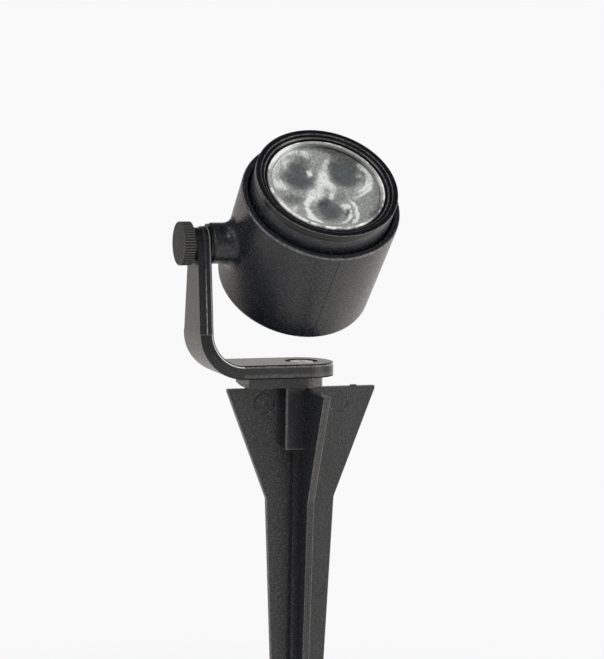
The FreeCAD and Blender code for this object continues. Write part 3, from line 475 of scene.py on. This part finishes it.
nodeFinish = {
    "head_housing": "castCoat", "inner_barrel": "castCoat", "bezel_ring": "bezelCoat",
    "bracket": "armCoat", "spike": "spikePlastic", "optic_holder": "nylonBlack",
    "glass_gasket": "sealRubber", "barrel_o_ring": "sealRubber", "thermal_pad": "padGrey",
    "led_board": "boardWhite", "led_packages": "lampResin", "board_screws": "zincPlate",
    "driver_board": "boardGreen", "driver_capacitor": "canSleeve", "driver_inductor": "ferriteGrey",
    "driver_rectifier": "chipBlack", "driver_screws": "zincPlate", "led_leads": "leadRed",
    "gland_body": "nylonBlack", "gland_nut": "nylonBlack", "gland_washer": "sealRubber",
    "gland_seal": "sealRubber", "gland_cap": "nylonBlack", "friction_washer": "nylonBlack",
    "lock_washer": "nylonBlack", "knob_stud": "zincPlate", "foot_screw": "zincPlate",
}
for node, look in nodeFinish.items():
    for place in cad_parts[node].material_slots:
        place.material = finish[look]
print("finishes given to", len(nodeFinish), "nodes")


# ways of making pieces

hair = 0.001 * mm              # lengths closer than this count as the same


def newPiece(name, mesh, looks, body, node):
    piece = bpy.data.objects.new(name, mesh)
    bpy.context.scene.collection.objects.link(piece)
    for look in looks:
        mesh.materials.append(finish[look])
    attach(piece, body)
    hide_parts(node)


def rounded(corners, steps=3):
    # a closed outline of (radius, height, round), with arcs in place of its rounded corners
    outline = []
    for number, (across, up, size) in enumerate(corners):
        corner = Vector((across, up))
        before = (Vector(corners[number - 1][:2]) - corner).normalized()
        after = (Vector(corners[(number + 1) % len(corners)][:2]) - corner).normalized()
        if size == 0:
            outline.append(corner)
            continue
        half = before.angle(after) / 2
        middle = corner + (before + after).normalized() * size / math.sin(half)
        first = corner + before * size / math.tan(half) - middle
        last = corner + after * size / math.tan(half) - middle
        outline += [middle + first.slerp(last, step / steps) * size for step in range(steps + 1)]
    return outline


def turnedRing(form, across, up, around, relief):
    # one level of a turned shape: a ring of points, or the same point over and over on the axis
    if across < hair:
        return [form.verts.new((0, 0, up + relief(0, 0, up)))] * around
    ring = []
    for step in range(around):
        turn = 2 * math.pi * step / around
        x, y = across * math.cos(turn), across * math.sin(turn)
        ring.append(form.verts.new((x, y, up + relief(x, y, up))))
    return ring


def addTurned(form, outline, around, looks=None, relief=lambda x, y, up: 0.0):
    # spins a closed outline of (radius, height) about Z; looks gives some bands another material
    rings = [turnedRing(form, across, up, around, relief) for across, up in outline]
    for number, ring in enumerate(rings):
        after = rings[(number + 1) % len(rings)]
        for step in range(around):
            beside = (step + 1) % around
            corners = dict.fromkeys([ring[step], ring[beside], after[beside], after[step]])
            if len(corners) > 2:
                face = form.faces.new(list(corners))
                face.smooth = True
                face.material_index = (looks or {}).get(number, 0)


def finishedMesh(name, form, place, sharpAbove):
    # the form as a mesh in its place, smooth but for edges over an angle in degrees
    bmesh.ops.recalc_face_normals(form, faces=form.faces)
    for edge in form.edges:
        edge.smooth = edge.calc_face_angle(0) < math.radians(sharpAbove)
    mesh = bpy.data.meshes.new(name)
    form.to_mesh(mesh)
    form.free()
    mesh.transform(place)
    return mesh


# cover pane: a shallow clear cap whose wall and edge show bright

coverPane = {
    "flange": 17.6 * mm, "middle": 16.45 * mm, "bore": 15.25 * mm, "back": 21.0 * mm,
    "step": 22.2 * mm, "inside": 22.35 * mm, "face": 23.55 * mm, "bevel": 0.25 * mm,
    "round": 0.15 * mm, "discGap": 0.01 * mm, "around": 180, "sharp": 20,
    # the clear disc: a mirror sheen that grows at a slant
    "clear": 0.97, "tint": (0.99, 1.0, 1.0), "rough": 0.03, "haze": 5 * mm, "hazeRough": 0.04,
    "sheen": 0.035, "sheenPower": 5.0,
    # the wall: its level, its grit, and its paler outer band with dashes along its outer edge,
    # painted glints
    "wall": 0.56, "wallTint": (1.0, 1.0, 0.98), "limits": (0.05, 0.97), "edgeRough": 0.28,
    "grit": 0.35 * mm, "gritLevel": 0.6, "gritRough": 0.2, "gritDepth": (0.3, 0.1 * mm),
    "outside": 0.2 * mm, "outsideLevel": 0.08, "dash": 2.6 * mm, "dashLevel": 0.4,
    "dashStops": ((0.5, 0.0), (0.6, 1.0)),
    # bright and dark stretches of the wall, painted highlights and shade: x, y, length, width in
    # mm, heading, level
    "litAndShadedPatches": ((-10.5, 11.5, 9.0, 6.0, 40, 0.34), (16.2, 1.0, 5.0, 1.6, 90, 0.2),
                (-13.5, -8.5, 7.0, 3.0, -55, 0.12), (12.5, -10.5, 6.0, 3.5, 45, -0.2)),
    # the wall's dim foot, a painted shade: where it lies, how high it reaches in mm, and how dim it
    # is
    "shadedFoot": (8.5, 12.5, 12.0, 7.0, -40), "dimStops": ((0.35, 1.0), (0.65, 0.0)), "dimShare": 0.55,
}
patchSoftness = 1.6            # how fast a patch rises from its rim to its middle
shownPower = 2.2               # from a level as it shows to the colour that gives it


def patchMask(board, flat, x, y, length, width, heading):
    # a soft oval, 1 in its middle
    inside = board.seenFrom(flat, (x, y, 0), (0, 0, math.radians(heading)), (length, width, 1))
    return ((1 - board.length(inside)) * patchSoftness).between(0.0, 1.0)


def shownTone(board, level, tint):
    return board.blend(level.power(shownPower), shade(0.0), shade(1.0, tint))


def clearPane(name, look):
    material, board = newMaterial(name)
    haze = board.noise(board.coordinates("Object"), look["haze"], 3.0)
    clear = board.add("ShaderNodeBsdfTransparent", {}, {
        "Color": shade(look["clear"], look["tint"])})
    sheen = board.add("ShaderNodeBsdfGlossy", {}, {
        "Color": shade(1.0), "Roughness": look["rough"] + haze * look["hazeRough"]})
    slant = board.add("ShaderNodeLayerWeight", {}, {"Blend": 0.5}, "Facing")
    mirror = look["sheen"] + slant.power(look["sheenPower"]) * (1 - look["sheen"])
    close(board, board.mixShader(mirror, clear, sheen))
    return material


def groundEdge(name, look):
    # the cap's wall and bevel: silvery, with painted glints in brighter dashes along its outer
    # edge, painted highlight and shade stretches, and painted shade low down
    material, board = newMaterial(name)
    spot = board.coordinates("Object")
    local = headSpot(board, spot)
    flat = board.flat(local)
    dash = board.ramp(board.noise(spot, look["dash"]), look["dashStops"])
    grit = board.noise(spot, look["grit"], 3.0, 0.65)
    edge = (look["middle"] - look["bevel"] - look["outside"]) / mm
    outside = board.length(flat).above(edge)
    level = look["wall"] + (grit - 0.5) * look["gritLevel"] + outside * look["outsideLevel"]
    level = level + dash * outside * look["dashLevel"]
    for patch in look["litAndShadedPatches"]:
        level = level + patchMask(board, flat, *patch[:5]) * patch[5]
    shadedFoot = board.ramp(board.axis(local, 2) - look["inside"] / mm, look["dimStops"])
    shadedFoot = shadedFoot * patchMask(board, flat, *look["shadedFoot"])
    level = (level * (1 - shadedFoot * look["dimShare"])).between(*look["limits"])
    shader = board.add("ShaderNodeBsdfPrincipled", {}, {
        "Base Color": shownTone(board, level, look["wallTint"]),
        "Roughness": look["edgeRough"] + (grit - 0.5) * look["gritRough"],
        "Normal": board.bump(grit, *look["gritDepth"])})
    close(board, shader)
    return material


def makeCoverPane(look):
    # the face is a clear disc let into the wall, so that the wall shows through it
    finish["clearPane"] = clearPane("clearPane", look)
    finish["groundEdge"] = groundEdge("groundEdge", look)
    disc = look["bore"] - look["discGap"]
    face = [(0, look["inside"]), (disc, look["inside"]), (disc, look["face"]), (0, look["face"])]
    wall = rounded([
        (look["bore"], look["back"], 0), (look["flange"], look["back"], look["round"]),
        (look["flange"], look["step"], look["round"]), (look["middle"], look["step"], 0),
        (look["middle"], look["face"] - look["bevel"], 0),
        (look["middle"] - look["bevel"], look["face"], 0), (look["bore"], look["face"], 0),
    ])
    form = bmesh.new()
    addTurned(form, face, look["around"])
    addTurned(form, wall, look["around"], dict.fromkeys(range(len(wall)), 1))
    mesh = finishedMesh("coverPane", form, headPlace, look["sharp"])
    newPiece("coverPane", mesh, ["clearPane", "groundEdge"], "lamp_head",
             "front_glass")


makeCoverPane(coverPane)
print("cover pane made")


# lens plate: a silvery plate with three bowls, a cone under each

lensPlate = {
    "turns": (-90, 30, 150), "pitch": 8.1 * mm,
    "top": 22.28 * mm, "raised": 15.15 * mm, "shelf": 20.0 * mm, "radius": 17.5 * mm,
    "under": 18.45 * mm, "bowl": 6.9 * mm, "bowlDepth": 0.4 * mm, "dimple": 3.4 * mm,
    "dimpleDepth": 0.25 * mm, "coneFoot": 3.2 * mm, "coneEnd": 10.05 * mm,
    "bowlCurve": 0.8, "rings": 72, "around": 240, "sharp": 50,
    # the frosted silver: its level, streaks and mottle, with sizes in mm
    "base": 0.63, "limits": (0.1, 0.96), "silverTint": (1.0, 0.99, 0.965),
    "drift": 2.4, "push": (1.9, 1.9, 0), "mottle": 1.0, "mottleLevel": 0.5,
    "streak": 0.55, "streakHeading": 58, "streakStretch": (2.4, 0.8, 1), "streakLevel": 0.9,
    "rough": 0.34, "streakRough": 0.3, "depth": (0.14, 0.2 * mm),
    # painted reflections and shade in the plate, in mm from its axis, with their change of level,
    # which the streaks vary.
    # arcs, painted reflections: middle x, y, radius, width, heading and half sweep in degrees,
    # level
    "markLeast": 0.3, "markStreak": 1.65, "arcFade": 0.6, "arcGain": 1.25,
    "reflectionArcs": [
        (-4.4, 3.4, 9.9, 1.5, 140, 66, 0.28), (-6.3, 4.4, 6.2, 0.9, 150, 60, 0.14),
        (-0.6, -8.4, 6.5, 1.2, 184, 58, 0.34), (-0.6, -8.2, 7.5, 0.7, -25, 56, 0.46),
        (-0.8, -8.0, 6.0, 0.55, -32, 45, 0.3), (6.5, 3.6, 7.3, 0.9, -30, 58, 0.28),
        (6.8, 3.8, 6.1, 0.4, -30, 45, 0.26), (6.2, 3.2, 8.0, 0.7, 22, 22, 0.25),
    ],
    # patches, painted reflections and shade: x, y, length, width, heading, level
    "litAndShadedPatches": [
        (-12.6, 0.9, 3.0, 2.6, 0, 0.26), (-8.8, 13.0, 4.5, 1.8, 35, 0.26),
        (-9.7, 8.2, 3.2, 1.0, 70, 0.14), (-3.4, 5.1, 1.9, 1.2, 70, 0.42),
        (-3.6, -2.6, 5.2, 3.0, 45, 0.24), (0.2, 3.6, 5.4, 2.3, 62, 0.3),
        (2.4, 9.2, 3.4, 1.2, 58, 0.24), (1.6, 0.6, 3.0, 2.0, -70, 0.26),
        (0.9, -3.2, 1.8, 1.1, 70, 0.26), (-6.2, -12.0, 3.6, 2.0, -55, 0.24),
        (4.3, -7.0, 2.1, 1.3, 30, 0.3), (4.2, -9.3, 2.6, 0.5, 52, -0.22),
        (10.6, 4.9, 1.2, 1.3, 0, 0.26), (12.2, 7.2, 2.4, 0.9, -62, 0.3),
        (11.0, -0.6, 4.0, 1.8, 28, 0.14), (-10.8, -7.8, 1.6, 1.2, 20, 0.18),
        (-2.6, 12.2, 1.7, 1.5, 60, 0.16), (-10.5, -4.5, 4.2, 2.2, 0, -0.14),
        (-5.5, 8.6, 4.5, 3.2, 30, -0.16), (7.4, 7.4, 8.2, 7.0, 45, -0.24),
        (3.6, 14.0, 7.0, 1.8, -18, -0.18), (10.6, -6.0, 5.5, 4.0, 60, -0.02),
        (-1.6, -5.4, 3.4, 2.0, 50, -0.2), (3.2, -3.6, 2.4, 1.4, 30, -0.1),
        (-7.0, 3.6, 6.6, 5.6, 0, -0.16), (-0.7, -8.6, 5.4, 4.8, 0, -0.14),
    ],
    # blue-grey cores under the lenses: x, y, length, width, heading, depth
    "cores": [
        (-7.1, 3.2, 5.0, 4.2, -30, 1.0), (6.5, 4.2, 5.2, 5.0, 0, 1.0),
        (-0.7, -8.7, 4.1, 3.7, 40, 1.0), (-6.4, 6.4, 4.0, 2.4, 40, 0.5),
        (0.1, -6.0, 2.0, 2.4, 0, 0.6), (7.0, 7.4, 3.6, 3.6, 0, 0.6),
    ],
    "coreGain": 1.25, "coreShare": 0.92, "coreLevel": 0.375, "coreStreak": 0.45,
    "coreTint": (0.9, 0.99, 1.04),
}


def makeLensPlate(look):
    turns = [math.radians(turn) for turn in look["turns"]]
    spots = [Vector((math.cos(turn), math.sin(turn))) * look["pitch"] for turn in turns]

    def relief(x, y, up):
        # bowls in the top, and cones under them
        reach = min((Vector((x, y)) - spot).length for spot in spots)
        if up > look["top"] - hair and reach < look["bowl"]:
            bowl = look["bowlDepth"] * (1 - (reach / look["bowl"]) ** 2) ** look["bowlCurve"]
            dimple = look["dimpleDepth"] * max(0.0, 1 - (reach / look["dimple"]) ** 2)
            return -bowl - dimple
        if up < look["under"] + hair and reach < look["bowl"]:
            slant = look["bowl"] - look["coneFoot"]
            share = (look["bowl"] - max(reach, look["coneFoot"])) / slant
            return (look["coneEnd"] - look["under"]) * share
        return 0.0

    steps = [look["raised"] * step / look["rings"] for step in range(look["rings"] + 1)]
    outline = [(across, look["top"]) for across in steps]
    outline += [(look["raised"], look["shelf"]), (look["radius"], look["shelf"]),
                (look["radius"], look["under"])]
    outline += [(across, look["under"]) for across in reversed(steps)]
    form = bmesh.new()
    addTurned(form, outline, look["around"], relief=relief)
    mesh = finishedMesh("lensPlate", form, headPlace, look["sharp"])
    newPiece("lensPlate", mesh, ["lensFrost"], "lamp_head", "triple_optic")


def arcMask(board, flat, look, x, y, radius, width, heading, sweep):
    # a crescent that fades towards both its ends
    inside = board.seenFrom(flat, (x, y, 0), (0, 0, math.radians(heading)), (radius, radius, 1))
    ahead = board.axis(board.vector("NORMALIZE", inside), 0)
    limit = math.cos(math.radians(sweep))
    fade = ((ahead - limit) / (1 - limit)).most(0.0).power(look["arcFade"])
    band = board.length(inside).near(1.0, width / radius)
    return (fade * band * look["arcGain"]).least(1.0)


def lensFrost(name, look):
    # frosted silver with streaks, bright crescents of painted reflection round the lenses, painted
    # bright and dark patches, and blue-grey cores
    material, board = newMaterial(name)
    flat = board.flat(headSpot(board, board.coordinates("Object")))
    drift = board.noise(flat, look["drift"], 3.0, 0.6, "Color")
    push = board.vector("MULTIPLY", board.vector("SUBTRACT", drift, (0.5, 0.5, 0.5)), look["push"])
    wavy = board.vector("ADD", flat, push)
    drawn = board.seenFrom(wavy, (0, 0, 0), (0, 0, math.radians(look["streakHeading"])),
                           look["streakStretch"])
    mottle = board.noise(flat, look["mottle"], 4.0, 0.7)
    streak = board.noise(drawn, look["streak"], 4.0, 0.8)

    # painted reflections and shade: the crescents and the patches
    reflectionsAndShade = 0.0
    for arc in look["reflectionArcs"]:
        reflectionsAndShade = arcMask(board, wavy, look, *arc[:6]) * arc[6] + reflectionsAndShade
    for patch in look["litAndShadedPatches"]:
        reflectionsAndShade = patchMask(board, wavy, *patch[:5]) * patch[5] + reflectionsAndShade
    level = look["base"] + (mottle - 0.5) * look["mottleLevel"]
    level = level + (streak - 0.5) * look["streakLevel"]
    level = level + reflectionsAndShade * (look["markLeast"] + streak * look["markStreak"])
    silver = shownTone(board, level.between(*look["limits"]), look["silverTint"])

    core = 0.0
    for patch in look["cores"]:
        mask = (patchMask(board, wavy, *patch[:5]) * look["coreGain"]).least(1.0)
        core = (mask * patch[5]).most(core)
    deep = look["coreLevel"] + (streak - 0.5) * look["coreStreak"]
    dusk = shownTone(board, deep, look["coreTint"])
    shader = board.add("ShaderNodeBsdfPrincipled", {}, {
        "Base Color": board.blend(core * look["coreShare"], silver, dusk),
        "Roughness": look["rough"] + (streak - 0.5) * look["streakRough"],
        "Normal": board.bump(streak * 0.5 + mottle * 0.5, *look["depth"])})
    close(board, shader)
    return material


finish["lensFrost"] = lensFrost("lensFrost", lensPlate)
makeLensPlate(lensPlate)
print("lens plate made")


# thumb knob: a turned core with fine ribs round it

thumbKnob = {
    "seat": 32.6 * mm, "front": 36.3 * mm, "core": 5.86 * mm, "band": 6.03 * mm,
    "bandDepth": 0.3 * mm, "bandStep": 0.1 * mm, "chamfer": 0.18 * mm, "back": 4.9 * mm,
    "taper": 0.7 * mm, "bore": 2.55 * mm, "sink": 2.6 * mm, "around": 98, "sharp": 30,
    "seatRound": 0.15 * mm, "round": 0.1 * mm, "bandRound": 0.08 * mm,
    "ribs": 49, "ribSides": 10, "ribRadius": 0.235 * mm, "ribPitch": 5.81 * mm,
    "ribStart": 0.4, "ribOver": 0.08 * mm,    # in the taper's share, and into the band
}
finish["knobPlastic"] = grainedCoat("knobPlastic", castLook | {
    "grain": 0.4 * mm, "cloud": 7 * mm, "dark": 0.026, "pale": 0.08, "tint": (1.0, 0.985, 0.95),
    "speck": 0.7, "rough": 0.55, "glint": 0.15, "gloss": 0.2, "depth": 0.3, "wearAndHighlight": None,
    "wearHighlightTone": 0.16,
    # painted shade in the rib grooves, painted highlights on the crowns and the face's rim
    "ribs": {"inner": thumbKnob["core"], "outer": thumbKnob["ribPitch"] + thumbKnob["ribRadius"],
             "under": 0.05 * mm, "front": 36.1 * mm, "rimHighlight": (5.87 * mm, 0.16 * mm),
             "groove": ((0.15, 1.0), (0.8, 0.0)), "grooveShare": 0.48,
             "crown": ((0.55, 0.0), (1.0, 1.0)), "crownShare": 0.5},
})


def readTree(name, inputs):
    # a geometry tree with named inputs, and a wire for each of them
    tree = bpy.data.node_groups.new(name, "GeometryNodeTree")
    board = Board(tree)
    tree.interface.new_socket("Geometry", in_out="OUTPUT", socket_type="NodeSocketGeometry")
    for label, kind in ({"Geometry": "Geometry"} | inputs).items():
        tree.interface.new_socket(label, in_out="INPUT", socket_type="NodeSocket" + kind)
    source = board.add("NodeGroupInput").socket.node
    return board, {socket.name: Wire(board, socket) for socket in source.outputs if socket.name}


def ribbedTree():
    board, given = readTree("ribbedGrip", {
        "Ribs": "Int", "Rib Sides": "Int", "Rib Radius": "Float", "Rib Length": "Float",
        "Rib Level": "Float", "Pitch Radius": "Float", "Material": "Material"})
    circle = board.add("GeometryNodeMeshCircle", {}, {
        "Vertices": given["Ribs"], "Radius": given["Pitch Radius"]})
    raised = board.add("ShaderNodeCombineXYZ", {}, {"Z": given["Rib Level"]})
    row = board.add("GeometryNodeTransform", {}, {"Geometry": circle, "Translation": raised})
    rib = board.add("GeometryNodeMeshCylinder", {}, {
        "Vertices": given["Rib Sides"], "Radius": given["Rib Radius"],
        "Depth": given["Rib Length"]})
    ribs = board.add("GeometryNodeInstanceOnPoints", {}, {"Points": row, "Instance": rib})
    both = board.add("GeometryNodeJoinGeometry", {}, {"Geometry": [given["Geometry"], ribs]})
    whole = board.add("GeometryNodeRealizeInstances", {}, {"Geometry": both})
    dressed = board.add("GeometryNodeSetMaterial", {}, {
        "Geometry": whole, "Material": given["Material"]})
    board.add("NodeGroupOutput", {}, {"Geometry": dressed})
    return board.tree


def grownMesh(name, mesh, tree, values):
    # runs a geometry tree on a mesh and keeps the result as a plain mesh
    holder = bpy.data.objects.new(name + "Holder", mesh)
    bpy.context.scene.collection.objects.link(holder)
    growth = holder.modifiers.new("growth", "NODES")
    growth.node_group = tree
    for item in tree.interface.items_tree:
        if item.in_out == "INPUT" and item.name in values:
            growth[item.identifier] = values[item.name]
    seen = holder.evaluated_get(bpy.context.evaluated_depsgraph_get())
    grown = bpy.data.meshes.new_from_object(seen)
    grown.name = name
    holder.modifiers.clear()
    bpy.data.objects.remove(holder)
    return grown


def makeThumbKnob(look):
    bandBack = look["front"] - look["bandDepth"]
    full = look["seat"] + look["taper"]
    bottom = look["seat"] + look["sink"]
    outline = rounded([
        (look["bore"], look["seat"], 0), (look["back"], look["seat"], look["seatRound"]),
        (look["core"], full, look["round"]), (look["core"], bandBack, 0),
        (look["band"], bandBack + look["bandStep"], 0),
        (look["band"], look["front"] - look["chamfer"], look["bandRound"]),
        (look["band"] - look["chamfer"], look["front"], look["round"]), (0, look["front"], 0),
        (0, bottom, 0), (look["bore"], bottom, 0),
    ])
    form = bmesh.new()
    addTurned(form, outline, look["around"])
    core = finishedMesh("knobCore", form, Matrix.Identity(4), look["sharp"])
    low, high = full - look["taper"] * look["ribStart"], bandBack + look["ribOver"]
    mesh = grownMesh("thumbKnob", core, ribbedTree(), {
        "Ribs": look["ribs"], "Rib Sides": look["ribSides"], "Rib Radius": look["ribRadius"],
        "Rib Length": high - low, "Rib Level": (high + low) / 2,
        "Pitch Radius": look["ribPitch"], "Material": finish["knobPlastic"]})
    mesh.transform(knobPlace)
    newPiece("thumbKnob", mesh, [], "thumbscrew", "thumb_knob")


makeThumbKnob(thumbKnob)
print("thumb knob made")


# studio

studio = {
    "floor": -165.6 * mm, "reach": 12.0, "paper": 0.8, "white": 0.947, "whiteTint": (1, 1, 1.01),
    # how white the floor shows, by distance from the spike
    "whiteFade": ((0.1, 0.55), (0.42, 1.0)),
    # what gloss sees of the floor: bright near by and to the right, with a glow behind
    "glowNear": ((0.15, 1.0), (1.2, 0.6), (2.4, 0.15)), "glowRight": (0.85, 0.7),
    "glowBehind": (0.5, 0.6), "behindRight": 0.35, "behindLimits": (0.5, 1.0),
    "glowLimits": (0.1, 1.0), "glowLevel": 1.03, "glowTint": (1, 0.962, 0.905),
    # soft light from all round, and the sky as it shows
    "ambient": 0.66, "ambientTint": (0.97, 0.985, 1.0), "skyTint": (0.997, 0.997, 1.004),
    # what gloss sees of the sky: paler low down, with a backdrop behind and a dim ceiling
    "low": (0.35, 0.15, -1.5), "lowLevel": 0.35, "overhead": 0.06,
    "backdrop": (0.31, 0.945, 0.1), "backdropPower": 14.0, "backdropLevel": 0.8,
    "mirrorTint": (1.0, 0.975, 0.935),
}


def seenRays(board):
    # the camera's own rays, and those that see the background in gloss and glass
    direct, glossy, through = [
        board.add("ShaderNodeLightPath", {}, {}, path)
        for path in ("Is Camera Ray", "Is Glossy Ray", "Is Transmission Ray")]
    return direct, glossy.most(through)


def floorGlow(board, spot, reach, look):
    right, back = board.axis(spot, 0), board.axis(spot, 1)
    base, least = look["glowRight"]
    near = board.fade(reach, look["glowNear"]) * (base + right).most(least)
    rise, most = look["glowBehind"]
    behind = (back * rise).between(0.0, most)
    behind = behind * (1 - right * look["behindRight"]).between(*look["behindLimits"])
    return (near + behind).between(*look["glowLimits"])


def makeFloor(look):
    form = bmesh.new()
    bmesh.ops.create_grid(form, x_segments=1, y_segments=1, size=look["reach"])
    mesh = bpy.data.meshes.new("studioFloor")
    form.to_mesh(mesh)
    form.free()
    mesh.transform(Matrix.Translation((0, 0, look["floor"])))
    floor = bpy.data.objects.new("studioFloor", mesh)
    bpy.context.scene.collection.objects.link(floor)
    material, board = newMaterial("paleFloor")
    direct, mirrored = seenRays(board)
    spot = board.coordinates("Object")
    reach = board.length(board.flat(spot))
    far = board.ramp(reach, look["whiteFade"])
    paper = board.add("ShaderNodeBsdfDiffuse", {}, {"Color": shade(look["paper"])})
    gloss = board.blend(floorGlow(board, spot, reach, look), shade(0.0),
                        shade(look["white"] * look["glowLevel"], look["glowTint"]))
    tint = board.blend(mirrored, shade(look["white"], look["whiteTint"]), gloss)
    show = board.add("ShaderNodeEmission", {}, {"Color": tint})
    close(board, board.mixShader(mirrored.most(direct * far), paper, show))
    mesh.materials.append(material)


def makeWorld(look):
    world = bpy.data.worlds.new("studioWorld")
    world.use_nodes = True
    board = Board(world.node_tree)
    direct, mirrored = seenRays(board)
    way = board.coordinates("Generated")
    low = board.vector("DOT_PRODUCT", way, look["low"], "Value")
    behind = board.vector("DOT_PRODUCT", way, look["backdrop"], "Value").most(0.0)
    mirror = (low + look["lowLevel"]).most(look["overhead"])
    mirror = mirror + behind.power(look["backdropPower"]) * look["backdropLevel"]
    light = look["ambient"] + mirrored * (mirror.least(look["white"]) - look["ambient"])
    strength = light + direct * (look["white"] - light)
    tint = board.blend(direct, shade(1.0, look["ambientTint"]), shade(1.0, look["skyTint"]))
    tint = board.blend(mirrored, tint, shade(1.0, look["mirrorTint"]))
    sky = board.add("ShaderNodeBackground", {}, {"Color": tint, "Strength": strength})
    board.add("ShaderNodeOutputWorld", {}, {"Surface": sky})
    bpy.context.scene.world = world


lamps = {
    "keyRight": {"place": (1.1, -0.9, 0.35), "look": (0, 0, 0), "size": (0.8, 1.0), "power": 8,
                 "tint": (1.0, 0.965, 0.92)},
    "rimRight": {"place": (0.95, 0.86, 0.26), "look": (0, 0, 0), "size": (0.5, 0.7), "power": 3.2,
                 "tint": (1.0, 0.97, 0.93)},
    "fillLeft": {"place": (-1.2, -0.4, 0.5), "look": (0, 0, 0), "size": (0.6, 0.9), "power": 3,
                 "tint": (1.0, 0.97, 0.93)},
    "topLeft": {"place": (-0.65, 0.0, 1.15), "look": (0, 0, 0.04), "size": (0.3, 0.3), "power": 1.1,
                "tint": (1.0, 0.98, 0.95)},
    "lowRight": {"place": (0.5, -1.1, -0.12), "look": (0, 0, 0), "size": (0.5, 0.5), "power": 0.4,
                 "tint": (1.0, 0.98, 0.96)},
    "lensFront": {"place": (-0.3, -1.3, 1.1), "look": (0, 0, 0.04), "size": (0.6, 0.5), "power": 5,
                  "tint": (1.0, 0.98, 0.95)},
}


def makeLamp(name, look):
    light = bpy.data.lights.new(name, "AREA")
    light.shape = "RECTANGLE"
    light.size, light.size_y = look["size"]
    light.energy = look["power"]
    light.color = look["tint"]
    lamp = bpy.data.objects.new(name, light)
    bpy.context.scene.collection.objects.link(lamp)
    lamp.location = look["place"]
    lamp.rotation_euler = (Vector(look["look"]) - lamp.location).to_track_quat("-Z", "Y").to_euler()


makeFloor(studio)
makeWorld(studio)
for lampName, look in lamps.items():
    makeLamp(lampName, look)
print("studio lit with", len(lamps), "lamps")
